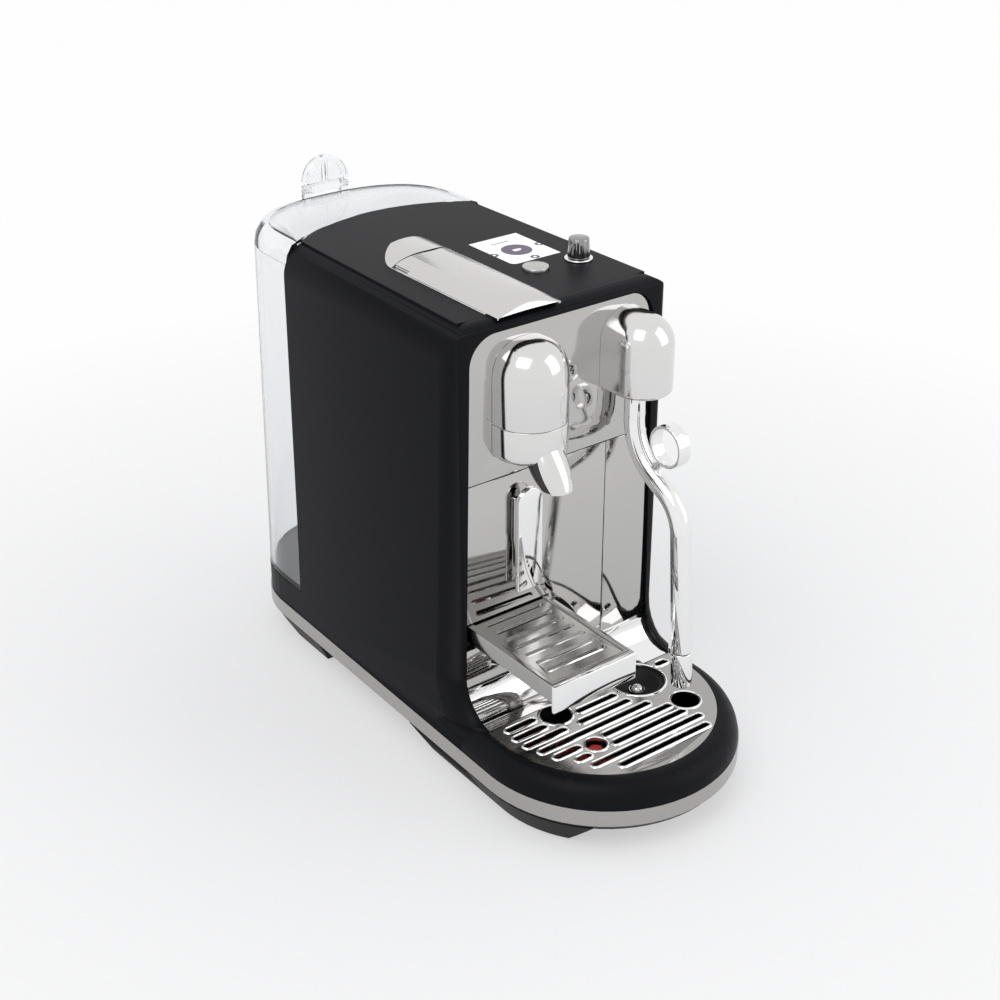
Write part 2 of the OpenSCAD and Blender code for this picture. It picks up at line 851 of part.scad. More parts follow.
module tray_basin() color(dark) machine() {
    difference() {
        intersection() {
            skirt_form();
            tray_zone(0.3);
        }
        intersection() {
            translate([0, 0, floor_z]) linear_extrude(band_z1) polygon(base_plan(skirt_in + pan_wall));
            tray_zone(pan_wall);
        }
    }
    box(-tongue_w / 2, tongue_w / 2, seam_in - 4, seam_in + 66, floor_z + 1, floor_z + 4.5);
    rod_z(float_x, float_y, floor_z, floor_z + 18, float_pin_r);
}

module tray_rim() color(black) machine() {
    front = base_half - casing_in;
    difference() {
        intersection() {
            union() {
                translate([0, front_cy, 0]) rotate([0, 0, 180])
                    rotate_extrude(angle = 180, $fn = 120) rim2d(0);
                mirrored() intersection() {
                    along_y(front_cy, 0) rim2d(0);
                    casing_side(0);
                }
            }
            tray_zone(0.3);
        }
        rod_z(0, grid_cy, grid_z - grid_t - 0.2, grid_z + 1, grid_r + 0.2);
        box(-grid_r - 0.2, grid_r + 0.2, grid_cy, 0, grid_z - grid_t - 0.2, grid_z + 1);
        rod_z(0, grid_cy, band_z1 - 1, grid_z, grid_r - 3);
        box(-grid_r + 3, grid_r - 3, grid_cy, 0, band_z1 - 1, grid_z);
    }
}

module tray_band() color(steel) machine() {
    intersection() {
        difference() {
            slab(0, band_z0, band_z1 - band_z0);
            slab(band_t, band_z0 - 1, band_z1);
        }
        tray_zone(0.3);
    }
}

module tray_feet() color([0.1, 0.1, 0.1]) machine() {
    reach = base_half - skirt_in - tray_foot_r - 3;
    mirrored() foot(reach * cos(tray_foot_a), front_cy + reach * sin(tray_foot_a), tray_foot_r);
}

module slot2d(x0, x1, y, w) {
    translate([x0, y - w / 2]) square([x1 - x0, w]);
    for (x = [x0, x1]) translate([x, y]) circle(r = w / 2, $fn = 24);
}

// Furthest place of a slot's end at y, so that the slot stays inside the rim.
function grid_edge_x(y) = y > grid_cy ? grid_r - 9.5
    : sqrt(pow(grid_r - 9.5, 2) - pow(y - grid_cy, 2));

// The outline of the grid, drawn in by i.
module grid2d(i) {
    translate([0, grid_cy]) circle(r = grid_r - i, $fn = 120);
    translate([i - grid_r, grid_cy]) square([2 * (grid_r - i), -grid_cy]);
}

module drip_grid() color(chrome) machine() {
    first = seam_in + 12.5;
    translate([0, 0, grid_z - grid_t]) linear_extrude(grid_t) difference() {
        intersection() {
            grid2d(0);
            translate([-100, -200]) square([200, 200 + seam_in - 0.6]);
        }
        intersection() {
            grid2d(3);
            union() {
                for (s = slots)
                    slot2d(s[1] - grid_r, grid_r - s[2], first - slot_pitch * s[0], slot_w);
                for (s = rim_slots) let (y = first - slot_pitch * s[0]) scale([s[1], 1])
                    slot2d(grid_r - s[2], grid_edge_x(y) - s[3], y, slot_w);
            }
        }
        for (h = grid_holes) translate([h[0], h[1]]) circle(r = h[2]);
        translate([well_x, well_y]) circle(r = well_r);
    }
}

module sensor_well() color([0.05, 0.05, 0.05]) machine() {
    top = grid_z - grid_t;
    difference() {
        rod_z(well_x, well_y, top - 9, top, well_r + 2);
        translate([well_x, well_y, top + 12]) sphere(r = well_r + 1);
        rod_z(well_x, well_y, top - 10, top, 5 + fit);
    }
}

module sensor_button() color(chrome) machine() {
    top = grid_z - grid_t;
    rod_z(well_x, well_y, top - 9, top - 4.5, 5);
    intersection() {
        translate([well_x, well_y, top - 6.5]) sphere(r = 5);
        rod_z(well_x, well_y, top - 4.5, top, 5);
    }
}

module float() color([0.8, 0.1, 0.08]) machine() {
    z0 = floor_z + 2;
    difference() {
        union() {
            rod_z(float_x, float_y, z0, grid_z - 8, float_r);
            rod_z(float_x + 7, float_y + 7, grid_z - 8, grid_z - 3.5, 4.5);
        }
        rod_z(float_x, float_y, z0 - 1, grid_z - 7, float_pin_r + fit);
    }
}

// ---- capsule container and cup support ----

module container_bin() color([0.13, 0.13, 0.14]) machine() {
    z0 = face_z0 + 0.3;
    z1 = split_z - 4;
    w = 2.5;
    y1 = face_t + bin_depth;
    difference() {
        box(bin_x0, bin_x1, face_t, y1, z0, z1);
        box(bin_x0 + w, bin_x1 - w, face_t + w, y1 - w, slot_z1 + 5, z1 + 1);
        box(bin_x0 - 1, cup_x1 + 0.5, face_t - 1, face_t + 2, slot_z0, slot_z1);
        box(bin_x0 - 1, cup_x1 + 0.5, face_t, y1 - 2, cup_z - cup_depth - slide_gap, slot_z1);
        box(bin_x0 + w, bin_x1 - w, face_t + w, y1 + 1, z0 + w, slot_z0 - w);
    }
}

module container_door() color(chrome) machine() {
    along_y(0, face_t) difference() {
        face2d(face_z0 + 0.4, split_z - face_gap / 2, 0);
        translate([split_x - face_gap / 2, 0]) square([200, 400]);
        translate([-200, slot_z0]) square([200 + cup_x1 + 0.5, slot_z1 - slot_z0]);
    }
}

module pull2d(w) {
    translate([pull_x - w / 2, pull_top - pull_h]) square([w, pull_h - w / 2]);
    translate([pull_x, pull_top - w / 2]) circle(r = w / 2);
}

module container_pull() color(chrome) machine() {
    along_y(-pull_d, -pull_d + 3.5) pull2d(pull_w);
    along_y(-pull_d + 3.5, 0)
        box2d(pull_x - pull_w / 4, pull_x + pull_w / 4, pull_top - pull_h, pull_top - 9);
}

module cup_frame() color(chrome) machine() {
    y1 = cup_len - cup_reach;
    difference() {
        box(cup_x0, cup_x1, cup_y0, y1, cup_z - cup_depth, cup_z);
        box(cup_x0 + 2, cup_x1 - 2, cup_y0 + 2, y1 - 2, cup_z - cup_depth - 1, cup_z - cup_depth / 2);
        box(cup_x0 + cup_edge, cup_x1 - cup_edge, cup_y0 + cup_edge, y1 - cup_edge,
            cup_z - cup_pocket, cup_z + 1);
        box(cup_x0 + cup_edge + 2, cup_x1 - cup_edge - 2, cup_y0 + cup_edge + 2, y1 - cup_edge - 2,
            cup_z - cup_depth - 1, cup_z + 1);
    }
}

module cup_grid() color(chrome) machine() {
    g = cup_edge + 0.2;
    y0 = cup_y0 + g;
    y1 = cup_len - cup_reach - g;
    rows = floor((y1 - y0 - 10) / 10);
    translate([0, 0, cup_z - cup_pocket]) linear_extrude(cup_pocket - 0.6) difference() {
        box2d(cup_x0 + g, cup_x1 - g, y0, y1);
        for (k = [0:rows - 1]) slot2d(cup_x0 + g + 6, cup_x1 - g - 6, y0 + 10 + 10 * k, slot_w);
    }
}

module cup_plate() color(chrome) machine() {
    box(cup_x0, cup_x1, -cup_reach, cup_y0, cup_z - cup_plate_h, cup_z);
}

// ---- brew head ----

// Half outline of a head from its axis out, drawn in by i: softened foot, upright side, dome.
function head_half(r, z0, z1, dome, power, soft, i) = let (e = max(soft - i, 0.5)) concat(
    [[0, z0 + i]],
    [for (a = [-90:15:0]) [r - i - e + e * cos(a), z0 + i + e + e * sin(a)]],
    [for (a = [0:5:85]) [
        (r - i) * pow(cos(a), power), z1 - dome + (dome - i) * pow(sin(a), power)
    ]],
    [[0, z1 - i]]
);

// The whole front outline of a head.
module head_front2d(cx, r, z0, z1, dome, power, soft, i) {
    half = head_half(r, z0, z1, dome, power, soft, i);
    last = len(half) - 1;
    translate([cx, 0])
        polygon(concat(half, [for (k = [last - 1:-1:1]) [-half[k][0], half[k][1]]]));
}

// A domed upright drum whose sides run straight back to the front face.
module head_form(cx, cy, r, z0, z1, dome, power, soft, i) {
    translate([cx, cy, 0]) rotate_extrude($fn = 96)
        polygon(head_half(r, z0, z1, dome, power, soft, i));
    along_y(cy, 0) head_front2d(cx, r, z0, z1, dome, power, soft, i);
}

module brew_form(i) {
    head_form(brew_x, brew_y, brew_half, brew_z0, brew_z1, brew_dome, 0.82, 5, i);
}

module brew_collar() color(chrome) machine() {
    difference() {
        along_y(-brew_collar_d, -0.05) head_front2d(
            brew_x, brew_half, brew_z0, brew_z1, brew_dome, 0.82, 5, head_wall + 0.2);
        along_y(-brew_collar_d - 1, 1) head_front2d(
            brew_x, brew_half, brew_z0, brew_z1, brew_dome, 0.82, 5, head_wall + 2.2);
    }
}

module brew_cover() color(chrome) machine() {
    difference() {
        brew_form(0);
        brew_form(head_wall);
        box(-200, 200, -0.1, 60, 0, casing_top);
        box(-200, 200, -200, 60, 0, brew_seam + 0.2);
    }
}

// Rings of the spout from inside the cup, over the front and down to the open end.
spout_top_y = brew_y - 8;
spout_top_z = brew_seam - 6;
function spout_rings(i) = [for (k = [0:8]) let (
    t = k / 8,
    y = spout_top_y - (spout_reach + spout_top_y) * t,
    z = spout_top_z - (spout_top_z - spout_z) * (t + 0.16 * t * (1 - t)),
    r = spout_r + 2.8 * sin(180 * t) - i
) [for (a = [0:15:345]) [brew_x + r * cos(a), y + r * sin(a), z]]];

module spout_form(i) {
    loft(spout_rings(i));
}

// The space in front of the joint between the spout's polished front and its dark lining.
module spout_front(c) {
    along_x(-200, 200) polygon([
        [spout_top_y - 6 - c, brew_seam + 20], [spout_top_y - 6 - c, spout_top_z],
        [-spout_reach - 0.55 * spout_r - c, spout_z - 1], [-200, spout_z - 1],
        [-200, brew_seam + 20]
    ]);
}

module brew_cup() color(chrome) machine() {
    difference() {
        union() {
            difference() {
                brew_form(0);
                brew_form(head_wall);
                box(-200, 200, -0.1, 60, 0, casing_top);
                box(-200, 200, -200, 60, brew_seam, casing_top);
                spout_form(0.05);
            }
            intersection() {
                difference() {
                    spout_form(0);
                    spout_form(1.6);
                }
                spout_front(0);
                box(-200, 200, -200, 0, 0, spout_top_z);
            }
        }
    }
}

module spout_liner() color([0.06, 0.06, 0.06]) machine() {
    difference() {
        union() {
            difference() {
                intersection() {
                    spout_form(0.3);
                    box(-200, 200, -200, 0, spout_z + 0.6, brew_seam - 8);
                }
                spout_front(-0.1);
            }
            intersection() {
                spout_form(1.8);
                box(-200, 200, -200, 0, spout_z + 0.6, brew_seam - 8);
            }
        }
        loft(spout_rings(4.5));
        translate([0, 0, -6]) loft(spout_rings(4.5));
    }
}

module needle_plate() color(steel) machine() {
    y0 = face_t + 3;
    difference() {
        union() {
            rod_y(chamber_x, y0, y0 + 4, cage_z, 20);
            rod_y(brew_x, 0.4 - brew_collar_d, y0, cage_z, outlet_r);
        }
        rod_y(brew_x, -brew_collar_d, y0 + 5, cage_z, 3);
    }
}

module brew_frame() color([0.25, 0.25, 0.26]) machine() {
    z0 = shelf_z + shelf_t;
    y1 = cage_y0 + cage_len + ram_len - 4;
    z1 = cage_z + frame_arm;
    difference() {
        union() {
            for (s = [-1, 1]) translate([chamber_x + s * (frame_arm + 1.5), 0, 0])
                box(-1.5, 1.5, cage_y0, y1, z0, z1);
            box(chamber_x - frame_arm, chamber_x + frame_arm, y1 - 4, y1, z0, z1);
        }
        rod_y(chamber_x, y1 - 5, y1 + 1, cage_z, ram_r + fit);
    }
}

module capsule_cage() color(steel) machine() {
    difference() {
        rod_y(chamber_x, cage_y0, cage_y0 + cage_len, cage_z, cage_r);
        rod_y(chamber_x, cage_y0 - 1, cage_y0 + cage_len - 6, cage_z, cage_r - 2.5);
    }
    rod_y(chamber_x, cage_y0 + cage_len, cage_y0 + cage_len + ram_len, cage_z, ram_r);
}

module capsule_chute() color(dark) machine() {
    z0 = cage_z + frame_arm + 1;
    difference() {
        box(trim_x0 + 4, trim_x1 - 4, chute_y - chute_len / 2, chute_y + chute_len / 2,
            z0, casing_top - wall - 0.5);
        rod_z(lever_x, chute_y, z0 - 1, casing_top, chute_r);
    }
}

// ---- steam head and wand ----

module steam_form(i) {
    head_form(steam_x, steam_y, steam_half, steam_z0, steam_z1, steam_half, 1, 3, i);
}

module steam_collar() color(chrome) machine() {
    difference() {
        along_y(-steam_collar_d, -0.05) head_front2d(
            steam_x, steam_half, steam_z0, steam_z1, steam_half, 1, 3, head_wall + 0.2);
        along_y(-steam_collar_d - 1, 1) head_front2d(
            steam_x, steam_half, steam_z0, steam_z1, steam_half, 1, 3, head_wall + 2.2);
        box(steam_x - fork_half - 4.3, steam_x + fork_half + 4.3, -steam_collar_d - 1, 1,
            steam_z0 - 5, steam_z0 + 6);
    }
}

module steam_cover() color(chrome) machine() {
    difference() {
        steam_form(0);
        steam_form(head_wall);
        box(-200, 200, -0.1, 60, 0, casing_top);
        box(steam_x - 8, steam_x + 8, -steam_reach + 6, 1, steam_z0 - 5, steam_z0 + 5);
    }
}

// Two cheeks and a bridge that carry the wand's pin.
module steam_fork() color(dark) machine() {
    z0 = wand_z - 7;
    z1 = wand_z + 14;
    difference() {
        union() {
            for (s = [-1, 1]) box(
                steam_x + s * (fork_half + 2) - 2, steam_x + s * (fork_half + 2) + 2,
                -wand_y - 7, -0.2, z0, z1
            );
            box(steam_x - fork_half - 4, steam_x + fork_half + 4, -wand_y - 7, -0.2, z1 - 3, z1);
        }
        rod_x(steam_x - 30, steam_x + 30, -wand_y, wand_z, wand_pin_r + 0.01);
    }
}

module wand_pin() color(steel) machine() {
    rod_x(steam_x - fork_half - 4, steam_x + fork_half + 4, -wand_y, wand_z, wand_pin_r);
}

module wand_tube() color(chrome) machine() translate([steam_x, 0, 0]) {
    difference() {
        union() {
            rod_x(-fork_half + 0.3, fork_half - 0.3, -wand_y, wand_z, 8);
            loft(wand_rings(wand_r));
        }
        rod_x(-20, 20, -wand_y, wand_z, wand_pin_r + fit);
    }
}

module wand_tip() color(chrome) machine() translate([steam_x, end_y, end_z])
    rotate([180 - wand_end_lean, 0, 0]) translate([0, 0, wand_end_len - tip_len]) {
        cylinder(r = wand_r + 0.4, h = tip_len - 4);
        translate([0, 0, tip_len - 4]) cylinder(r1 = wand_r + 0.4, r2 = wand_r - 2, h = 4);
    }

module wand_ring() color(chrome) machine() {
    difference() {
        union() {
            rod_x(steam_x - ring_w / 2, steam_x + ring_w / 2, ring_y, ring_z, ring_r);
            translate([steam_x, ring_base_y, ring_base_z]) rotate([90 - wand_bend, 0, 0])
                linear_extrude(wand_r + ring_gap + 1.5) rotate(90) slot2d(-2, 2, 0, 5);
        }
        rod_x(steam_x - ring_w, steam_x + ring_w, ring_y, ring_z, ring_r - ring_t);
        translate([steam_x, 0, 0]) loft(wand_rings(wand_r + 0.02));
    }
}

// ---- lever ----

// Arched cross-section of the lever and its end piece.
module arch2d(z, rise, half) {
    r = (half * half + rise * rise) / (2 * rise);
    intersection() {
        translate([lever_x, z + rise - r]) circle(r = r, $fn = 240);
        translate([lever_x - half, z]) square([2 * half, rise + 1]);
    }
}

module lever_side2d(g) {
    translate([lever_pin_y - lever_len, lever_pin_z - 20]) square([lever_len, 60]);
    translate([lever_pin_y, lever_pin_z]) circle(r = lever_heel + g);
}

// Behind the pivot the lever is narrow enough to dip inside its trim frame.
module lever() color(steel) machine() {
    z = casing_top + 1;
    intersection() {
        difference() {
            along_y(-5, lever_pin_y + 20) arch2d(z, lever_rise, lever_w / 2);
            along_y(-6, lever_pin_y + 21)
                arch2d(z - 0.1, lever_rise - lever_t + 0.1, lever_w / 2 - lever_t);
        }
        along_x(trim_x0, trim_x1) lever_side2d(0);
        union() {
            box(trim_x0, trim_x1, -10, lever_pin_y - 3, lever_pin_z, casing_top + 30);
            box(trim_x0 + 2.3, trim_x1 - 2.3, lever_pin_y - 4, trim_y1, lever_pin_z,
                casing_top + 30);
        }
    }
    for (s = [-1, 1]) difference() {
        along_x(lever_x + s * (lever_w / 2 - 4) - 1.5, lever_x + s * (lever_w / 2 - 4) + 1.5)
            intersection() {
                translate([lever_pin_y, lever_pin_z]) circle(r = lever_heel - 4);
                translate([0, lever_pin_z - 20]) square([200, 24.7]);
            }
        rod_x(-200, 200, lever_pin_y, lever_pin_z, lever_pin_r + fit);
    }
}

module lever_pin() color(steel) machine() {
    rod_x(trim_x0 + 0.8, trim_x1 - 0.8, lever_pin_y, lever_pin_z, lever_pin_r);
}

module lever_cap() color(steel) machine() {
    z = casing_top + 0.1;
    y1 = lever_pin_y + cap_len;
    difference() {
        intersection() {
            along_y(lever_pin_y - 5, y1) arch2d(z, lever_rise + 0.9, lever_w / 2);
            along_x(trim_x0, trim_x1) union() {
                translate([lever_pin_y - 20, z]) square([cap_len + 4, 20]);
                translate([y1 - 16, z]) intersection() {
                    circle(r = 16);
                    square(16);
                }
            }
            translate([lever_x, 0, z - 1]) linear_extrude(20) polygon(concat(
                [[-lever_w / 2, lever_pin_y - 20], [lever_w / 2, lever_pin_y - 20]],
                [for (a = [0:5:180]) [lever_w / 2 * cos(a), y1 - 19 + 19 * sin(a)]]
            ));
        }
        along_x(-200, 200) lever_side2d(0.8);
        box(trim_x0 - 1, trim_x1 + 1, 0, trim_y1 + 0.1, 0, casing_top + 0.6);
    }
}

module lever_trim() color(chrome) machine() {
    z0 = casing_top - wall;
    difference() {
        box(trim_x0, trim_x1, trim_y0, trim_y1, z0, casing_top + 0.5);
        box(trim_x0 + 2, trim_x1 - 2, trim_y0 + 3, trim_y1 - 0.8, z0 - 1, casing_top + 1);
        rod_x(-200, 200, lever_pin_y, lever_pin_z, lever_pin_r + 0.3);
    }
}

// ---- controls ----

module display() color([0.95, 0.95, 0.97]) machine() {
    translate([0, 0, casing_top - 1.2]) linear_extrude(1.2) display2d(0);
}

module display_board() color([0.1, 0.35, 0.2]) machine() {
    z0 = board_z - 1.6;
    box(button_x - button_r - 3, dial_x + dial_r + 2, button_y - button_r - 3,
        display_y + display_l / 2, z0, board_z);
    box(dial_x - 6, dial_x + 6, dial_y - 6, dial_y + 6, board_z, board_z + 5);
    rod_z(dial_x, dial_y, board_z + 5, casing_top + 8, shaft_r);
    box(button_x - 3, button_x + 3, button_y - 3, button_y + 3, board_z, board_z + 3);
}

module start_button() color(steel) machine() {
    rod_z(button_x, button_y, casing_top - 2, casing_top + 2, button_r);
    rod_z(button_x, button_y, board_z + 3 + button_travel + 0.2, casing_top - 2, 2.5);
}

module dial_collar() color(chrome) machine() {
    difference() {
        rod_z(dial_x, dial_y, casing_top, casing_top + 1.4, dial_r + 1.7);
        rod_z(dial_x, dial_y, casing_top - 1, casing_top + 2, shaft_r + 0.5);
    }
}

module dial() color(chrome) machine() {
    z0 = casing_top + 1.4 + slide_gap;
    difference() {
        translate([dial_x, dial_y, z0]) cylinder(r1 = dial_r, r2 = dial_r - 0.8, h = dial_h);
        rod_z(dial_x, dial_y, z0 - 1, casing_top + 8.3, shaft_r + fit);
    }
}

// ---- inner parts ----

module pump() color([0.3, 0.3, 0.32]) machine() {
    y1 = pump_y + pump_len;
    rod_y(pump_x, pump_y, y1, pump_z, pump_r);
    rod_y(pump_x, y1, y1 + pump_neck, pump_z, pump_r / 2);
    rod_y(pump_x, pump_y - 12, pump_y, pump_z, pump_r / 4);
}

module heater() color([0.6, 0.6, 0.62]) machine() {
    z0 = shelf_z + shelf_t;
    x0 = chamber_x + frame_arm + 5.5;
    box(x0, face_half - 8, heater_y, heater_y + heater_len, z0, z0 + heater_h);
    rod_y(steam_x, 10, heater_y, z0 + 30, 4);
    rod_y(x0 + 12, 14, heater_y, z0 + 12, 3);
}

module control_board() color([0.1, 0.35, 0.2]) machine() {
    rear = casing_back - 16;
    z0 = shelf_z + shelf_t;
    box(chamber_x - 26.5, face_half - 14, rear - 6.6, rear - 5, z0, z0 + board_h);
    box(0, 18, rear - 18, rear - 6.6, z0 + 12, z0 + 30);
    box(26, 44, rear - 16, rear - 6.6, z0 + 36, z0 + 54);
}

// A hose through a list of points: straight runs with round elbows.
module hose(points, r) {
    for (k = [0:len(points) - 2]) {
        d = points[k + 1] - points[k];
        translate(points[k]) rotate([0, acos(d[2] / norm(d)), atan2(d[1], d[0])])
            cylinder(r = r, h = norm(d));
        if (k > 0) translate(points[k]) sphere(r = r);
    }
}

module hoses() color([0.9, 0.9, 0.85]) machine() {
    low = floor_z + 6;
    y1 = pump_y + pump_len + pump_neck + 0.2;
    hose([
        [0, valve_y, tank_z0 - 8.5], [0, valve_y, low], [0, hose_y, low], [pump_x, hose_y, low],
        [pump_x, hose_y, pump_z], [pump_x, y1, pump_z]
    ], 3);
}

// ---- water tank ----

module tank2d(i) {
    difference() {
        polygon(base_plan(i));
        casing_back2d(0.8);
    }
}

// The outer body of the tank, drawn in by i, between two heights.
module tank_form(i, z0, z1) {
    k0 = (z0 - tank_z0) / (tank_z1 - tank_z0) * tank_draw;
    k1 = (z1 - tank_z0) / (tank_z1 - tank_z0) * tank_draw;
    hull() {
        slab(1 + i + k0, z0, 0.1);
        slab(1 + i + k1, z1 - 0.1, 0.1);
    }
}

module water_tank() color(clear) machine() {
    difference() {
        tank_form(0, tank_z0, tank_z1);
        translate([0, 0, tank_z0 - 1]) linear_extrude(casing_top) casing_back2d(0.8);
        difference() {
            tank_form(tank_wall, tank_z0 + tank_wall, tank_z1 + 1);
            translate([0, 0, tank_z0]) linear_extrude(casing_top) casing_back2d(0.8 + tank_wall);
        }
        rod_z(0, valve_y, 0, tank_z0 + 10, 5 + fit);
    }
}

module tank_valve() color(dark) machine() {
    difference() {
        union() {
            rod_z(0, valve_y, tank_z0 - 8, tank_z0, valve_r);
            rod_z(0, valve_y, tank_z0, tank_z0 + tank_wall + 8, 5);
        }
        rod_z(0, valve_y, tank_z0 - 9, tank_z0 + 20, 3);
    }
}

module tank_lid() color(clear) machine() {
    top = casing_top;
    i0 = 1 + tank_draw;
    difference() {
        hull() {
            slab(i0, tank_z1 + 0.2, 0.1);
            slab(i0 + 1.2, tank_z1 + 6, 0.1);
            slab(i0 + 5, top - 2, 0.1);
            slab(i0 + 10, top - 0.1, 0.1);
        }
        translate([0, 0, tank_z0]) linear_extrude(top) casing_back2d(0.8);
        difference() {
            translate([0, 0, tank_z1]) linear_extrude(top - tank_z1 - tank_wall)
                polygon(base_plan(i0 + 10));
            translate([0, 0, tank_z0]) linear_extrude(top) casing_back2d(0.8 + tank_wall);
        }
    }
    for (s = [-1, 1]) difference() {
        box(s * (handle_w / 2 - 2.5) - 2, s * (handle_w / 2 - 2.5) + 2, handle_y - 3, handle_y + 3,
            tank_z1 + 6, handle_z + 3);
        rod_x(-60, 60, handle_y, handle_z, 1.55);
    }
}

// The flat handle, dished on both faces, turns on its own round stub between the two lugs.
module tank_handle() color(clear) machine() {
    r = handle_w / 2;
    half = r - 5;
    cz = handle_z + handle_h - r;
    difference() {
        union() {
            along_y(handle_y - handle_t / 2, handle_y + handle_t / 2) union() {
                translate([0, cz]) intersection() {
                    circle(r = r);
                    translate([-r, handle_z + 4.6 - cz]) square([2 * r, 2 * r]);
                }
                translate([-half, handle_z]) square([2 * half, handle_h - r]);
            }
            rod_x(-half, half, handle_y, handle_z, 2.6);
        }
        for (side = [-1, 1]) translate([0, handle_y + side * handle_t / 2, 0])
            along_y(-1.5, 1.5) for (s = [-1, 1]) intersection() {
                translate([0, cz]) circle(r = r - 3);
                translate([s * (r + 1.2), cz + r - 1.5]) square([2 * r, 2 * r], center = true);
            }
    }
    rod_x(-r + 0.5, r - 0.5, handle_y, handle_z, 1.5);
}

base_pan();
base_band();
base_feet();
base_screws();
cord_gland();
tank_dock();
casing();
top_panel();
chassis();
face_upper();
face_right();
splash_plate();
tray_basin();
tray_rim();
tray_band();
tray_feet();
sensor_well();
sensor_button();
drip_grid();
float();
container_bin();
container_door();
container_pull();
cup_frame();
cup_grid();
cup_plate();
brew_collar();
brew_cover();
brew_cup();
spout_liner();
needle_plate();
brew_frame();
capsule_cage();
capsule_chute();
steam_collar();
steam_cover();
steam_fork();
wand_pin();
wand_tube();
wand_ring();
wand_tip();
lever();
lever_pin();
lever_cap();
lever_trim();
display();
display_board();
start_button();
dial_collar();
dial();
pump();
heater();
control_board();
hoses();
water_tank();
tank_valve();
tank_lid();
tank_handle();
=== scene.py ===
import json
import math
import bpy
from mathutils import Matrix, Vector


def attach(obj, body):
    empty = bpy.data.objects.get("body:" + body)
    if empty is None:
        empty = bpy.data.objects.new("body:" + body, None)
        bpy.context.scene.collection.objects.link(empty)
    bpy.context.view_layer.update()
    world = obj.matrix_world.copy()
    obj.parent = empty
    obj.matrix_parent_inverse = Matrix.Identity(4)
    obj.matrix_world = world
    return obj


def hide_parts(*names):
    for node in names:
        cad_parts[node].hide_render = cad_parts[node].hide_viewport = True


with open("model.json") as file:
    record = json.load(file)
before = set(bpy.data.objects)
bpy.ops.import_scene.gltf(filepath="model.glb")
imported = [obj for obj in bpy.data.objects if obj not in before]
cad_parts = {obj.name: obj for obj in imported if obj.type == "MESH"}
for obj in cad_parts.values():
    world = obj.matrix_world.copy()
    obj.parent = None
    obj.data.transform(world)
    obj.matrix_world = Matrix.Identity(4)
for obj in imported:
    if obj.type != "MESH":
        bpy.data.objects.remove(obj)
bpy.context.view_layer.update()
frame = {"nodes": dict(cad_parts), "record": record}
nodes = frame["nodes"]
bpy.ops.object.select_all(action="DESELECT")
print("stage: frame loaded")

frontY = -0.068  # plane of the polished front, from which most places are measured

def addGroup(name, inputs, outputs):
    group = bpy.data.node_groups.new(name, "ShaderNodeTree")
    for label, kind, value in inputs:
        socket = group.interface.new_socket(label, in_out="INPUT", socket_type=kind)
        if value is not None:
            socket.default_value = value
    for label, kind in outputs:
        group.interface.new_socket(label, in_out="OUTPUT", socket_type=kind)
    return group, group.nodes.new("NodeGroupInput"), group.nodes.new("NodeGroupOutput")


def buildGrain():  # two layers of noise: fine grain, and slow drift over the surface
    group, inside, outside = addGroup(
        "surfaceGrain",
        [("Vector", "NodeSocketVector", None), ("Grain", "NodeSocketFloat", 900.0),
         ("Drift", "NodeSocketFloat", 18.0)],
        [("Fine", "NodeSocketFloat"), ("Slow", "NodeSocketFloat")])
    for label, source, detail in (("Fine", "Grain", 3.0), ("Slow", "Drift", 2.0)):
        noise = group.nodes.new("ShaderNodeTexNoise")
        noise.inputs["Detail"].default_value = detail
        group.links.new(inside.outputs["Vector"], noise.inputs["Vector"])
        group.links.new(inside.outputs[source], noise.inputs["Scale"])
        group.links.new(noise.outputs["Fac"], outside.inputs[label])
    return group


grain = buildGrain()


def rampTo(tree, source, low, high, start=0.3, end=0.7):  # start..end becomes low..high
    node = tree.nodes.new("ShaderNodeMapRange")
    node.inputs["From Min"].default_value = start
    node.inputs["From Max"].default_value = end
    node.inputs["To Min"].default_value = low
    node.inputs["To Max"].default_value = high
    tree.links.new(source, node.inputs["Value"])
    return node.outputs["Result"]


def blendColors(tree, factor, low, high):  # low and high are colours or sockets
    node = tree.nodes.new("ShaderNodeMix")
    node.data_type = "RGBA"
    for label, color in (("A", low), ("B", high)):
        if isinstance(color, (tuple, list)):
            node.inputs[label].default_value = (*color, 1)
        else:
            tree.links.new(color, node.inputs[label])
    tree.links.new(factor, node.inputs["Factor"])
    return node.outputs["Result"]


def mathNode(tree, operation, first, second=None):
    node = tree.nodes.new("ShaderNodeMath")
    node.operation = operation
    for index, value in enumerate((first, second)):
        if value is None:
            continue
        if isinstance(value, (int, float)):
            node.inputs[index].default_value = value
        else:
            tree.links.new(value, node.inputs[index])
    return node.outputs["Value"]


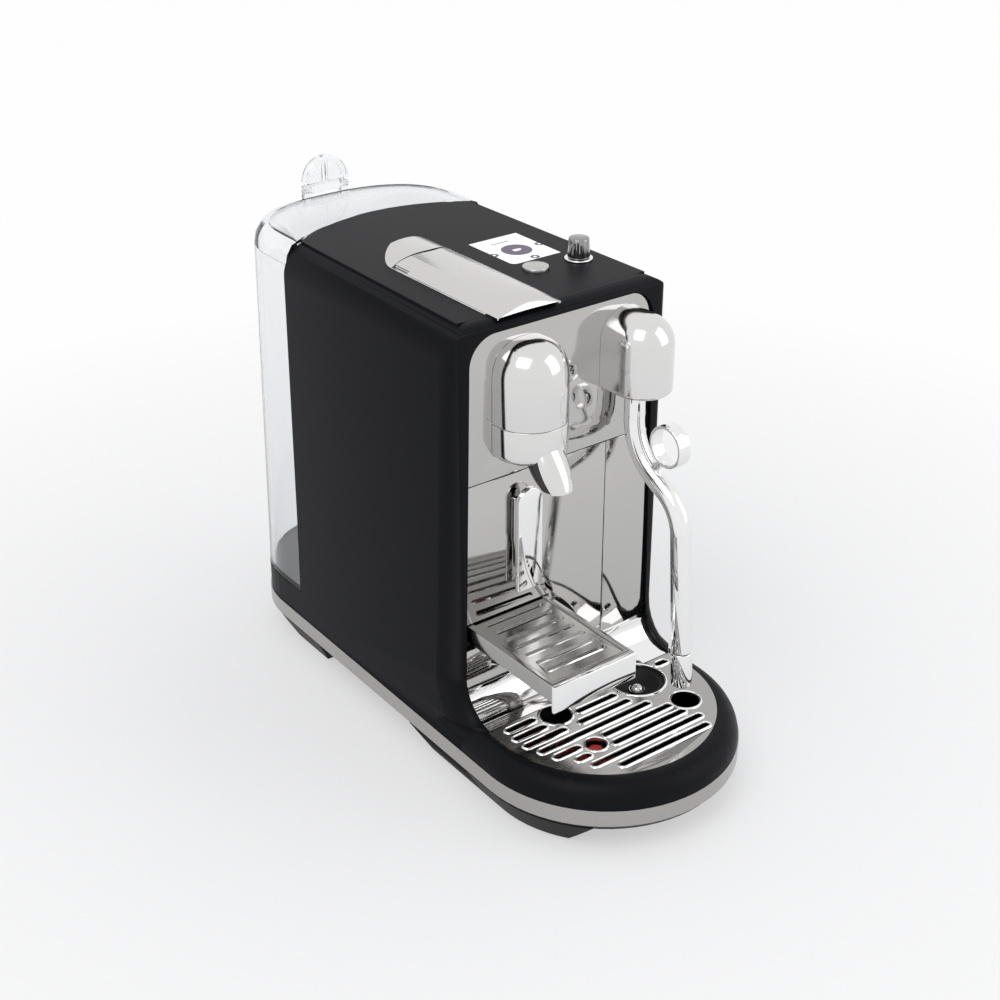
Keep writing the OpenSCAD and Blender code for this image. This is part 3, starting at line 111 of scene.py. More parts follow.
def makeFinish(name, look):
    material = bpy.data.materials.new(name)
    material.use_nodes = True
    tree = material.node_tree
    surface = tree.nodes["Principled BSDF"]
    coordinates = tree.nodes.new("ShaderNodeTexCoord")
    mapping = tree.nodes.new("ShaderNodeMapping")
    mapping.inputs["Scale"].default_value = look.get("stretch", (1, 1, 1))
    tree.links.new(coordinates.outputs["Object"], mapping.inputs["Vector"])
    texture = tree.nodes.new("ShaderNodeGroup")
    texture.node_tree = grain
    texture.inputs["Grain"].default_value = look.get("grain", 900)
    texture.inputs["Drift"].default_value = look.get("drift", 18)
    tree.links.new(mapping.outputs["Vector"], texture.inputs["Vector"])
    color = look["color"]
    shade = look.get("shade", 0.9)
    tree.links.new(
        blendColors(tree, texture.outputs["Slow"], tuple(c * shade for c in color), color),
        surface.inputs["Base Color"])
    spread = look.get("spread", 0.03)
    tree.links.new(
        rampTo(tree, texture.outputs["Fine"], look["roughness"] - spread,
               look["roughness"] + spread),
        surface.inputs["Roughness"])
    bump = tree.nodes.new("ShaderNodeBump")
    bump.inputs["Strength"].default_value = look.get("bump", 0.1)
    bump.inputs["Distance"].default_value = look.get("depth", 0.0002)
    tree.links.new(texture.outputs["Fine"], bump.inputs["Height"])
    tree.links.new(bump.outputs["Normal"], surface.inputs["Normal"])
    surface.inputs["Metallic"].default_value = look.get("metallic", 0)
    surface.inputs["Specular IOR Level"].default_value = look.get("specular", 0.5)
    surface.inputs["Coat Weight"].default_value = look.get("coat", 0)
    surface.inputs["Coat Roughness"].default_value = look.get("coatRoughness", 0.05)
    surface.inputs["Transmission Weight"].default_value = look.get("glass", 0)
    surface.inputs["IOR"].default_value = look.get("ior", 1.45)
    return material


finishes = {
    "casing_black": {"color": (0.0052, 0.0056, 0.0072), "roughness": 0.42, "specular": 0.1,
                     "grain": 1400, "bump": 0.04},
    "dark_plastic": {"color": (0.012, 0.0118, 0.0115), "roughness": 0.5, "specular": 0.2,
                     "grain": 1800, "bump": 0.25},
    "brushed": {"color": (0.46, 0.45, 0.44), "roughness": 0.28, "metallic": 1, "shade": 0.85,
                "stretch": (0.03, 0.03, 1), "grain": 1500, "spread": 0.06, "bump": 0.1},
    "polished": {"color": (0.5, 0.495, 0.485), "roughness": 0.06, "metallic": 1, "shade": 0.97,
                 "grain": 300, "spread": 0.015, "bump": 0.003},
    "satin_head": {"color": (0.72, 0.715, 0.71), "roughness": 0.13, "metallic": 1, "shade": 0.96,
                   "grain": 2000, "spread": 0.02, "bump": 0.01},
    "rubber_black": {"color": (0.012, 0.012, 0.012), "roughness": 0.7, "specular": 0.2,
                     "grain": 2500, "bump": 0.3},
    "liner_black": {"color": (0.016, 0.016, 0.017), "roughness": 0.12, "specular": 0.5,
                    "grain": 600, "bump": 0.02},
    "clear_tank": {"color": (0.93, 0.94, 0.95), "roughness": 0.06, "glass": 1, "ior": 1.3,
                   "shade": 0.98, "grain": 200, "spread": 0.02, "bump": 0.004},
    "display_white": {"color": (0.85, 0.85, 0.88), "roughness": 0.15, "grain": 500, "bump": 0.0},
    "float_red": {"color": (0.5, 0.012, 0.01), "roughness": 0.3, "grain": 800, "bump": 0.05},
    "board_green": {"color": (0.01, 0.12, 0.05), "roughness": 0.4, "grain": 1200, "bump": 0.1},
    "hose_white": {"color": (0.7, 0.7, 0.66), "roughness": 0.45, "grain": 900, "bump": 0.05},
    "cast_grey": {"color": (0.4, 0.4, 0.41), "roughness": 0.5, "metallic": 1, "grain": 1500,
                  "bump": 0.3},
    "pump_grey": {"color": (0.1, 0.1, 0.11), "roughness": 0.5, "grain": 1500, "bump": 0.2},
}
extraFinishes = {
    "gridSteel": {"color": (0.4, 0.395, 0.385), "roughness": 0.16, "metallic": 1, "shade": 0.9,
                  "stretch": (0.05, 1, 1), "grain": 1500, "spread": 0.05, "bump": 0.03},
    "brightSteel": {"color": (0.85, 0.85, 0.85), "roughness": 0.05, "metallic": 1,
                    "shade": 0.97, "grain": 300, "spread": 0.015, "bump": 0.003},
    "leverSteel": {"color": (0.66, 0.655, 0.645), "roughness": 0.24, "metallic": 1,
                   "shade": 0.92, "stretch": (1, 0.03, 1), "grain": 1600, "spread": 0.05,
                   "bump": 0.05},
    "dialChrome": {"color": (0.3, 0.3, 0.3), "roughness": 0.08, "metallic": 1, "shade": 0.9,
                   "grain": 400, "spread": 0.02, "bump": 0.004},
    "buttonSteel": {"color": (0.55, 0.55, 0.54), "roughness": 0.3, "metallic": 1, "shade": 0.9,
                    "grain": 1800, "spread": 0.05, "bump": 0.06},
}
materials = {name: makeFinish(name + "Finish", look)
             for name, look in {**finishes, **extraFinishes}.items()}
slotOf = {part["node"]: part["material_slot"] for part in frame["record"]["subparts"]}
for name, slotName in slotOf.items():
    mesh = nodes[name].data
    mesh.materials.clear()
    mesh.materials.append(materials[slotName])
print("stage: finishes")


def selectOnly(*objects):
    bpy.ops.object.select_all(action="DESELECT")
    for item in objects:
        item.select_set(True)
    bpy.context.view_layer.objects.active = objects[0]


def paint(piece, finish):
    piece.data.materials.clear()
    piece.data.materials.append(materials[finish])


def settle(piece, finish):  # the place goes into the mesh, and the finish on the piece
    selectOnly(piece)
    bpy.ops.object.transform_apply(location=True, rotation=True, scale=True)
    paint(piece, finish)


def declare(piece, body, slotName, *standsFor):
    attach(piece, body)
    if standsFor:
        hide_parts(*standsFor)


def cleanNormals(piece):
    selectOnly(piece)
    bpy.ops.object.mode_set(mode="EDIT")
    bpy.ops.mesh.select_all(action="SELECT")
    bpy.ops.mesh.remove_doubles(threshold=0.00001)
    bpy.ops.mesh.normals_make_consistent(inside=False)
    bpy.ops.object.mode_set(mode="OBJECT")


def closeOpenEdges(piece):
    selectOnly(piece)
    bpy.ops.object.mode_set(mode="EDIT")
    bpy.ops.mesh.select_all(action="DESELECT")
    bpy.ops.mesh.select_non_manifold()
    bpy.ops.mesh.fill()
    bpy.ops.object.mode_set(mode="OBJECT")


def applyModifier(piece, name, kind, **values):
    modifier = piece.modifiers.new(name, kind)
    for key, value in values.items():
        setattr(modifier, key, value)
    selectOnly(piece)
    bpy.ops.object.modifier_apply(modifier=name)


def cutBox(piece, low, high):  # takes the box between two corners out of the piece
    bpy.ops.mesh.primitive_cube_add(size=1, location=[(a + b) / 2 for a, b in zip(low, high)])
    cutter = bpy.context.object
    cutter.scale = [b - a for a, b in zip(low, high)]
    bpy.ops.object.transform_apply(location=True, scale=True)
    applyModifier(piece, "cut", "BOOLEAN", operation="DIFFERENCE", object=cutter,
                  solver="EXACT")
    bpy.data.objects.remove(cutter)


def smoothOver(piece, degrees=35):
    selectOnly(piece)
    bpy.ops.object.shade_smooth_by_angle(angle=math.radians(degrees))


def softenedCopy(nodeName, pieceName, edge, finish, steps=2, degrees=35):
    # a merged copy of a frame piece, its flat faces joined and its edges rounded off
    source = nodes[nodeName]
    piece = source.copy()
    piece.data = source.data.copy()
    piece.name = pieceName
    piece.parent = None
    for key in list(piece.keys()):
        del piece[key]
    bpy.context.scene.collection.objects.link(piece)
    selectOnly(piece)
    bpy.ops.object.mode_set(mode="EDIT")
    bpy.ops.mesh.select_all(action="SELECT")
    bpy.ops.mesh.remove_doubles(threshold=0.00001)
    bpy.ops.mesh.dissolve_limited(angle_limit=math.radians(0.4))
    bpy.ops.object.mode_set(mode="OBJECT")
    if edge:
        applyModifier(piece, "edges", "BEVEL", width=edge, segments=steps,
                      limit_method="ANGLE", angle_limit=math.radians(degrees),
                      use_clamp_overlap=True, harden_normals=False)
    smoothOver(piece, degrees)
    paint(piece, finish)
    return piece


# both heads come from one outline; places are in metres
brewHead = {"center": -0.0285, "axis": frontY - 0.005, "radius": 0.023, "foot": 0.2155,
            "crown": 0.2865, "dome": 0.024, "power": 0.82, "soft": 0.005, "wall": 0.0016,
            "seam": 0.2375, "groove": 0.00025, "turns": 56}
steamHead = {"center": 0.0465, "axis": frontY - 0.017, "radius": 0.0185, "foot": 0.2385,
             "crown": 0.287, "dome": 0.0185, "power": 1.0, "soft": 0.003, "wall": 0.0016,
             "turns": 48, "slotHalf": 0.008, "slotFront": frontY - 0.0295}


def headProfile(head):  # from the foot on the axis, up the side, to the crown
    radius, soft = head["radius"], head["soft"]
    points = [(0, head["foot"])]
    for step in range(9):
        angle = math.radians(-90 + 90 * step / 8)
        points.append((radius - soft + soft * math.cos(angle),
                       head["foot"] + soft + soft * math.sin(angle)))
    for step in range(25):
        angle = math.radians(88 * step / 24)
        points.append((radius * math.cos(angle) ** head["power"],
                       head["crown"] - head["dome"]
                       + head["dome"] * math.sin(angle) ** head["power"]))
    points.append((0, head["crown"]))
    return points


def drawEdgeChain(name, places):  # one vertex, extruded from place to place
    bpy.ops.mesh.primitive_plane_add(size=0.001, location=places[0])
    piece = bpy.context.object
    piece.name = name
    bpy.ops.object.transform_apply(location=True)
    bpy.ops.object.mode_set(mode="EDIT")
    bpy.ops.mesh.select_all(action="SELECT")
    bpy.ops.mesh.merge(type="CENTER")
    for start, end in zip(places, places[1:]):
        move = Vector(end) - Vector(start)
        bpy.ops.mesh.extrude_region_move(TRANSFORM_OT_translate={"value": move})
    return piece


def headShell(name, head):  # the outline is spun round the front and drawn back to the face
    center, axis = head["center"], head["axis"]
    piece = drawEdgeChain(
        name, [(center - reach, axis, height) for reach, height in headProfile(head)])
    bpy.ops.mesh.select_all(action="SELECT")
    bpy.ops.mesh.spin(steps=head["turns"], angle=-math.pi, center=(center, axis, 0),
                      axis=(0, 0, 1))
    bpy.ops.mesh.remove_doubles(threshold=0.000005)
    bpy.ops.object.mode_set(mode="OBJECT")
    for vertex in piece.data.vertices:
        vertex.select = abs(vertex.co.y - axis) < 0.00001
    for edge in piece.data.edges:
        edge.select = all(piece.data.vertices[v].select for v in edge.vertices)
    for face in piece.data.polygons:
        face.select = False
    bpy.ops.object.mode_set(mode="EDIT")
    bpy.ops.mesh.extrude_region_move(
        TRANSFORM_OT_translate={"value": (0, frontY - 0.0001 - axis, 0)})
    bpy.ops.object.mode_set(mode="OBJECT")
    cleanNormals(piece)
    return piece


def cutAcross(piece, place, normal, keepAbove):
    selectOnly(piece)
    bpy.ops.object.mode_set(mode="EDIT")
    bpy.ops.mesh.select_all(action="SELECT")
    bpy.ops.mesh.bisect(plane_co=place, plane_no=normal, clear_inner=keepAbove,
                        clear_outer=not keepAbove)
    bpy.ops.object.mode_set(mode="OBJECT")


def wallAndEdges(piece, wall, edge, finish):
    applyModifier(piece, "wall", "SOLIDIFY", thickness=wall, offset=-1)
    applyModifier(piece, "edges", "BEVEL", width=edge, segments=3, limit_method="ANGLE",
                  angle_limit=math.radians(50))
    cleanNormals(piece)
    smoothOver(piece, 40)
    paint(piece, finish)


def makeBrewHead():
    cover = headShell("brewHeadCover", brewHead)
    cutAcross(cover, (0, 0, brewHead["seam"] + brewHead["groove"]), (0, 0, 1), True)
    wallAndEdges(cover, brewHead["wall"], 0.0003, "satin_head")
    declare(cover, "machine", "satin_head", "brew_cover")
    cup = headShell("brewHeadCup", brewHead)
    cutAcross(cup, (0, 0, brewHead["seam"]), (0, 0, 1), False)
    wallAndEdges(cup, brewHead["wall"], 0.0003, "satin_head")
    return cup


spout = {"center": -0.0285, "topY": frontY - 0.013, "topZ": 0.2315, "reach": 0.031,
         "endZ": 0.202, "endRadius": 0.0095, "belly": 0.0028, "rings": 14, "sides": 64,
         "wall": 0.0014, "edge": 0.0004, "liningGap": 0.0003, "liningWall": 0.0042,
         "liningLift": 0.0006, "cutTop": 0.006, "cutFoot": 0.55, "bow": 0.16}


def spoutTube(name, inset):  # a ring drawn out along the spout, resized as it goes
    tipY = frontY - spout["reach"]
    places = []
    for step in range(spout["rings"] + 1):
        t = step / spout["rings"]
        places.append((
            spout["topY"] + (tipY - spout["topY"]) * t,
            spout["topZ"] - (spout["topZ"] - spout["endZ"]) * (t + spout["bow"] * t * (1 - t)),
            spout["endRadius"] + spout["belly"] * math.sin(math.pi * t) - inset))
    y, z, radius = places[0]
    bpy.ops.mesh.primitive_circle_add(vertices=spout["sides"], radius=radius,
                                      location=(spout["center"], y, z))
    piece = bpy.context.object
    piece.name = name
    bpy.ops.object.transform_apply(location=True)
    bpy.ops.object.mode_set(mode="EDIT")
    bpy.ops.mesh.select_all(action="SELECT")
    for (y0, z0, r0), (y1, z1, r1) in zip(places, places[1:]):
        bpy.ops.mesh.extrude_region_move(
            TRANSFORM_OT_translate={"value": (0, y1 - y0, z1 - z0)})
        bpy.ops.transform.resize(value=(r1 / r0, r1 / r0, 1),
                                 center_override=(spout["center"], y1, z1))
    bpy.ops.object.mode_set(mode="OBJECT")
    cleanNormals(piece)
    return piece


def makeSpout(cup):  # a bright front shell on the cup, with the dark lining behind it
    top = (0, spout["topY"] - spout["cutTop"], spout["topZ"])
    footY = frontY - spout["reach"] - spout["cutFoot"] * spout["endRadius"]
    foot = (0, footY, spout["endZ"])
    slope = (Vector(foot) - Vector(top)).normalized()
    across = Vector((0, slope.z, -slope.y))  # points to the front
    shell = spoutTube("spoutShell", 0)
    cutAcross(shell, top, across, across.y < 0)
    applyModifier(shell, "wall", "SOLIDIFY", thickness=spout["wall"], offset=-1)
    applyModifier(shell, "edges", "BEVEL", width=spout["edge"], segments=3,
                  limit_method="ANGLE", angle_limit=math.radians(50))
    smoothOver(shell, 45)
    paint(shell, "satin_head")
    selectOnly(cup, shell)
    bpy.ops.object.join()
    declare(cup, "machine", "satin_head", "brew_cup")
    lining = spoutTube("spoutLining", spout["liningGap"])
    applyModifier(lining, "wall", "SOLIDIFY", thickness=spout["liningWall"], offset=-1)
    cutAcross(lining, (0, 0, spout["endZ"] + spout["liningLift"]), (0, 0, 1), True)
    cutAcross(lining, Vector(top) - across * 0.0001, across, across.y > 0)
    closeOpenEdges(lining)
    cleanNormals(lining)
    smoothOver(lining, 40)
    paint(lining, "liner_black")
    declare(lining, "machine", "liner_black", "spout_liner")


brewCup = makeBrewHead()
makeSpout(brewCup)
print("stage: brew head and spout")


def makeSteamHead():
    piece = headShell("steamHeadCover", steamHead)
    applyModifier(piece, "wall", "SOLIDIFY", thickness=steamHead["wall"], offset=-1)
    cleanNormals(piece)
    center, slotHalf = steamHead["center"], steamHead["slotHalf"]
    cutBox(piece, (center - slotHalf, steamHead["slotFront"], steamHead["foot"] - 0.005),
           (center + slotHalf, frontY + 0.001, steamHead["foot"] + 0.005))
    smoothOver(piece, 40)
    paint(piece, "satin_head")
    declare(piece, "machine", "satin_head", "steam_cover")


makeSteamHead()
print("stage: steam head")

wand = {"center": 0.0465, "pivotY": frontY - 0.0116, "pivotZ": 0.2485, "radius": 0.0064,
        "drop": 0.0295, "bend": 62, "upperRadius": 0.036, "lowerRadius": 0.028,
        "slope": 0.013, "lean": 4.5, "tipZ": 0.056, "sleeve": 0.0235, "sides": 48,
        "ringRadius": 0.0133, "ringWidth": 0.009, "ringWall": 0.002, "ringGap": 0.0085,
        "hubRadius": 0.008, "hubWidth": 0.0154, "stemRadius": 0.0026, "stemOverlap": 0.0035}


def wandPlaces():  # centre line from the pivot to the sleeve: y, z, lean in degrees
    places = [(wand["pivotY"], wand["pivotZ"] - 0.002, 0)]
    top = wand["pivotZ"] - wand["drop"]
    for step in range(17):
        lean = wand["bend"] * step / 16
        angle = math.radians(lean)
        places.append((wand["pivotY"] - wand["upperRadius"] * (1 - math.cos(angle)),
                       top - wand["upperRadius"] * math.sin(angle), lean))
    bend = math.radians(wand["bend"])
    y, z, _ = places[-1]
    y -= wand["slope"] * math.sin(bend)
    z -= wand["slope"] * math.cos(bend)
    for step in range(17):
        lean = wand["bend"] + (wand["lean"] - wand["bend"]) * step / 16
        angle = math.radians(lean)
        places.append((y + wand["lowerRadius"] * (math.cos(bend) - math.cos(angle)),
                       z - wand["lowerRadius"] * (math.sin(bend) - math.sin(angle)), lean))
    return places


def drawTube(name, places, radius, sides, capFirst=True):
    # a circle drawn along the places and turned to stay square to them
    y, z, lean = places[0]
    bpy.ops.mesh.primitive_circle_add(vertices=sides, radius=radius,
                                      location=(wand["center"], y, z),
                                      fill_type="NGON" if capFirst else "NOTHING")
    piece = bpy.context.object
    piece.name = name
    bpy.ops.object.transform_apply(location=True)
    bpy.ops.object.mode_set(mode="EDIT")
    bpy.ops.mesh.select_all(action="SELECT")
    for (y0, z0, lean0), (y1, z1, lean1) in zip(places, places[1:]):
        bpy.ops.mesh.extrude_region_move(
            TRANSFORM_OT_translate={"value": (0, y1 - y0, z1 - z0)})
        if lean1 != lean0:
            bpy.ops.transform.rotate(value=math.radians(lean1 - lean0), orient_axis="X",
                                     center_override=(wand["center"], y1, z1))
    bpy.ops.object.mode_set(mode="OBJECT")
    cleanNormals(piece)
    return piece


def makeWand():
    places = wandPlaces()
    endY, endZ, lean = places[-1]
    angle = math.radians(wand["lean"])
    length = (endZ - wand["tipZ"]) / math.cos(angle)
    along = length - wand["sleeve"]
    places.append((endY - along * math.sin(angle), endZ - along * math.cos(angle), lean))
    tube = drawTube("wandTube", places, wand["radius"], wand["sides"])
    bpy.ops.mesh.primitive_cylinder_add(
        vertices=64, radius=wand["hubRadius"], depth=wand["hubWidth"], rotation=(0, math.pi / 2, 0),
        location=(wand["center"], wand["pivotY"], wand["pivotZ"]))
    hub = bpy.context.object
    applyModifier(hub, "edges", "BEVEL", width=0.0006, segments=3, limit_method="ANGLE")
    selectOnly(tube, hub)
    bpy.ops.object.join()
    smoothOver(tube, 40)
    settle(tube, "brightSteel")
    declare(tube, "wand", "polished", "wand_tube")
    y, z, _ = places[-1]

    def further(distance):
        return (y - distance * math.sin(angle), z - distance * math.cos(angle), lean)

    sleeve = wand["sleeve"]
    sleevePlaces = [further(0.0003), further(sleeve - 0.0005)]
    tip = drawTube("wandSleeve", sleevePlaces, wand["radius"] + 0.0003, wand["sides"])
    return tube, tip


wandTube, wandSleeve = makeWand()


def finishWand():
    applyModifier(wandSleeve, "edges", "BEVEL", width=0.0005, segments=3,
                  limit_method="ANGLE", angle_limit=math.radians(50))
    smoothOver(wandSleeve, 40)
    settle(wandSleeve, "brightSteel")
    declare(wandSleeve, "wand", "polished", "wand_tip")


def makeFingerRing():  # a flat band with soft edges on a short stem
    bend = math.radians(wand["bend"])
    baseY = wand["pivotY"] - wand["upperRadius"] * (1 - math.cos(bend))
    baseZ = wand["pivotZ"] - wand["drop"] - wand["upperRadius"] * math.sin(bend)
    stand = wand["radius"] + wand["ringGap"] + wand["ringRadius"]
    y = baseY - stand * math.cos(bend)
    z = baseZ + stand * math.sin(bend)
    bpy.ops.mesh.primitive_cylinder_add(
        vertices=96, radius=wand["ringRadius"], depth=wand["ringWidth"], end_fill_type="NOTHING",
        rotation=(0, math.pi / 2, 0), location=(wand["center"], y, z))
    band = bpy.context.object
    band.name = "wandFingerRing"
    bpy.ops.object.transform_apply(location=True, rotation=True)
    cleanNormals(band)
    applyModifier(band, "wall", "SOLIDIFY", thickness=wand["ringWall"], offset=-1)
    applyModifier(band, "edges", "BEVEL", width=0.0006, segments=4, limit_method="ANGLE",
                  angle_limit=math.radians(50))
    reach = wand["ringGap"] + wand["stemOverlap"]
    middle = wand["radius"] + wand["ringGap"] / 2
    bpy.ops.mesh.primitive_cylinder_add(
        vertices=32, radius=wand["stemRadius"], depth=reach, rotation=(math.pi / 2 - bend, 0, 0),
        location=(wand["center"], baseY - middle * math.cos(bend),
                  baseZ + middle * math.sin(bend)))
    stem = bpy.context.object
    bpy.ops.object.transform_apply(location=True, rotation=True)
    bpy.ops.object.mode_set(mode="EDIT")
    bpy.ops.mesh.select_all(action="SELECT")
    bpy.ops.transform.resize(value=(1, 1.5, 1), center_override=(
        wand["center"], baseY - middle * math.cos(bend), baseZ + middle * math.sin(bend)))
    bpy.ops.object.mode_set(mode="OBJECT")
    selectOnly(band, stem)
    bpy.ops.object.join()
    smoothOver(band, 40)
    settle(band, "brightSteel")
    declare(band, "wand", "polished", "wand_ring")


finishWand()
makeFingerRing()
print("stage: steam wand")

# slots: row, then how far each end stays from the sides of the grid in millimetres
grate = {"half": 0.0732, "middle": frontY - 0.0404, "top": 0.0475, "firstRow": frontY - 0.0115,
         "pitch": 0.0096, "slot": 0.002, "lip": 0.0018, "rise": 0.0009, "sink": 0.0012,
         "edge": 0.0637, "holeLip": 0.0016, "holeRise": 0.0008}
grateSlots = [(3, 58, 61), (4, 52, 58), (5, 14, 50), (6, 55, 41), (7, 55, 38), (8, 31, 33),
              (9, 44, 36)]
grateRimSlots = [(2, -1, 29, 1.6), (3, -1, 30, 0.2), (4, -1, 38, 0.2), (6, -1, 33, 1.4),
                 (7, -1, 33, 4.4), (2, 1, 15, 0.2)]
grateHoles = [(-0.0292, frontY - 0.035, 0.010), (-0.029, frontY - 0.073, 0.0065),
              (0.0451, frontY - 0.0708, 0.009), (0.036, frontY - 0.036, 0.0175)]


def pressedLip(x0, x1, y, z, half, lip, rise, sink, sides=32):
    # the turned-up edge of a pressed slot: rings round a circle, then drawn out to length
    rings = [(half, -sink), (half + 0.0001, 0), (half + lip * 0.35, rise),
             (half + lip * 0.7, rise * 0.75), (half + lip, 0.00002)]
    middle, stretch = (x0 + x1) / 2, (x1 - x0) / 2
    bpy.ops.mesh.primitive_circle_add(
        vertices=sides, radius=rings[0][0], location=(middle, y, z + rings[0][1]),
        rotation=(0, 0, math.pi / sides))
    piece = bpy.context.object
    bpy.ops.object.transform_apply(location=True, rotation=True)
    bpy.ops.object.mode_set(mode="EDIT")
    bpy.ops.mesh.select_all(action="SELECT")
    for (r0, z0), (r1, z1) in zip(rings, rings[1:]):
        bpy.ops.mesh.extrude_region_move(TRANSFORM_OT_translate={"value": (0, 0, z1 - z0)})
        bpy.ops.transform.resize(value=(r1 / r0, r1 / r0, 1), center_override=(middle, y, z))
    for side in (-1, 1):
        if stretch <= 0:
            break
        bpy.ops.mesh.select_all(action="DESELECT")
        bpy.ops.object.mode_set(mode="OBJECT")
        for vertex in piece.data.vertices:
            vertex.select = (vertex.co.x - middle) * side > 0
        bpy.ops.object.mode_set(mode="EDIT")
        bpy.ops.transform.translate(value=(side * stretch, 0, 0))
    bpy.ops.object.mode_set(mode="OBJECT")
    return piece


def roundEnd(y):  # how far the grid reaches sideways at y
    return math.sqrt(grate["edge"] ** 2 - (y - grate["middle"]) ** 2) if y < grate["middle"] \
        else grate["edge"]


def joinAll(pieces, name):
    selectOnly(*pieces)
    bpy.ops.object.join()
    joined = bpy.context.view_layer.objects.active
    joined.name = name
    return joined


def makeGrateLips():
    lips = []
    for row, left, right in grateSlots:
        y = grate["firstRow"] - grate["pitch"] * row
        lips.append(pressedLip(left / 1000 - grate["half"], grate["half"] - right / 1000, y,
                               grate["top"], grate["slot"], grate["lip"], grate["rise"],
                               grate["sink"]))
    for row, side, inner, outer in grateRimSlots:
        y = grate["firstRow"] - grate["pitch"] * row
        ends = sorted((side * (grate["half"] - inner / 1000), side * (roundEnd(y) - outer / 1000)))
        lips.append(pressedLip(*ends, y, grate["top"], grate["slot"], grate["lip"],
                               grate["rise"], grate["sink"]))
    for x, y, radius in grateHoles:
        lips.append(pressedLip(x, x, y, grate["top"], radius, grate["holeLip"],
                               grate["holeRise"], grate["sink"], 96))
    piece = joinAll(lips, "gridLips")
    cleanNormals(piece)
    smoothOver(piece, 60)
    settle(piece, "brightSteel")
    declare(piece, "grid", "polished")


makeGrateLips()
print("stage: grid lips")

lever = {"center": -0.0255, "half": 0.0225, "arcHalf": 0.0206, "rise": 0.0085, "base": 0.3010,
         "wall": 0.0012, "pinY": frontY + 0.0905, "pinZ": 0.2965, "heel": 0.013,
         "noseY": frontY - 0.0008, "noseLength": 0.017, "cheek": 0.0185,
         "cheekRadius": 0.0085, "cheekWidth": 0.003, "cheekTop": 0.0046, "dip": 0.0207,
         "noseRings": 12, "noseEnd": 0.03}


def leverSection():  # across the lever: a turned-out lip, the arch, and the other lip
    half, rise = lever["half"], lever["rise"]
    radius = (half * half + rise * rise) / (2 * rise)
    arch = []
    for step in range(33):
        x = lever["arcHalf"] * (step / 16 - 1)
        arch.append((x, rise - radius + math.sqrt(radius * radius - x * x)))
    lip = [(-half, 0.0001), (-half + 0.0006, 0.0004), (-half + 0.0013, 0.0009)]
    return lip + arch + [(-x, z) for x, z in reversed(lip)]


def makeLever():
    y = lever["pinY"] + lever["heel"] + 0.001
    places = [(lever["center"] + x, y, lever["base"] + z) for x, z in leverSection()]
    piece = drawEdgeChain("leverShell", places)
    bpy.ops.mesh.select_all(action="SELECT")
    noseStart = lever["noseY"] + lever["noseLength"]
    stations = [(noseStart, 1.0)]
    for step in range(1, lever["noseRings"] + 1):
        angle = math.radians(88 * step / lever["noseRings"])
        stations.append((noseStart - lever["noseLength"] * math.sin(angle),
                         lever["noseEnd"] + (1 - lever["noseEnd"]) * math.cos(angle)))
    now, height = y, 1.0
    for nextY, nextHeight in stations:
        bpy.ops.mesh.extrude_region_move(TRANSFORM_OT_translate={"value": (0, nextY - now, 0)})
        bpy.ops.transform.resize(value=(1, 1, nextHeight / height), center_override=(
            lever["center"], nextY, lever["base"]))
        now, height = nextY, nextHeight
    bpy.ops.object.mode_set(mode="OBJECT")
    cleanNormals(piece)
    up = sum(polygon.normal.z * polygon.area for polygon in piece.data.polygons)
    if up < 0:
        selectOnly(piece)
        bpy.ops.object.mode_set(mode="EDIT")
        bpy.ops.mesh.select_all(action="SELECT")
        bpy.ops.mesh.flip_normals()
        bpy.ops.object.mode_set(mode="OBJECT")
    applyModifier(piece, "wall", "SOLIDIFY", thickness=lever["wall"], offset=-1)
    bpy.ops.mesh.primitive_cube_add(size=1, location=(
        lever["center"], lever["pinY"] + 0.015, lever["pinZ"] + 0.01))
    space = bpy.context.object
    space.scale = (0.06, 0.03, 0.03)
    bpy.ops.object.transform_apply(location=True, scale=True)
    bpy.ops.mesh.primitive_cylinder_add(
        vertices=128, radius=lever["heel"], depth=0.08, rotation=(0, math.pi / 2, 0),
        location=(lever["center"], lever["pinY"], lever["pinZ"]))
    drum = bpy.context.object
    bpy.ops.object.transform_apply(location=True, rotation=True)
    applyModifier(space, "drum", "BOOLEAN", operation="DIFFERENCE", object=drum, solver="EXACT")
    applyModifier(piece, "heel", "BOOLEAN", operation="DIFFERENCE", object=space, solver="EXACT")
    bpy.data.objects.remove(space)
    bpy.data.objects.remove(drum)
    for side in (-1, 1):  # behind the pivot the sides are cut back to dip inside the trim
        edges = sorted(lever["center"] + side * reach for reach in (lever["dip"], 0.03))
        cutBox(piece, (edges[0], lever["pinY"] - 0.003, lever["base"] - 0.02),
               (edges[1], lever["pinY"] + 0.03, lever["base"] + 0.02))
    cheeks = []
    for side in (-1, 1):
        bpy.ops.mesh.primitive_cylinder_add(
            vertices=64, radius=lever["cheekRadius"], depth=lever["cheekWidth"],
            rotation=(0, math.pi / 2, 0),
            location=(lever["center"] + side * lever["cheek"], lever["pinY"], lever["pinZ"]))
        cheek = bpy.context.object
        bpy.ops.object.transform_apply(location=True, rotation=True)
        cutAcross(cheek, (0, 0, lever["pinZ"] + lever["cheekTop"]), (0, 0, 1), False)
        closeOpenEdges(cheek)
        cheeks.append(cheek)
    piece = joinAll([piece] + cheeks, "leverShell")
    smoothOver(piece, 40)
    settle(piece, "leverSteel")
    declare(piece, "lever", "brushed", "lever")


makeLever()
print("stage: lever")

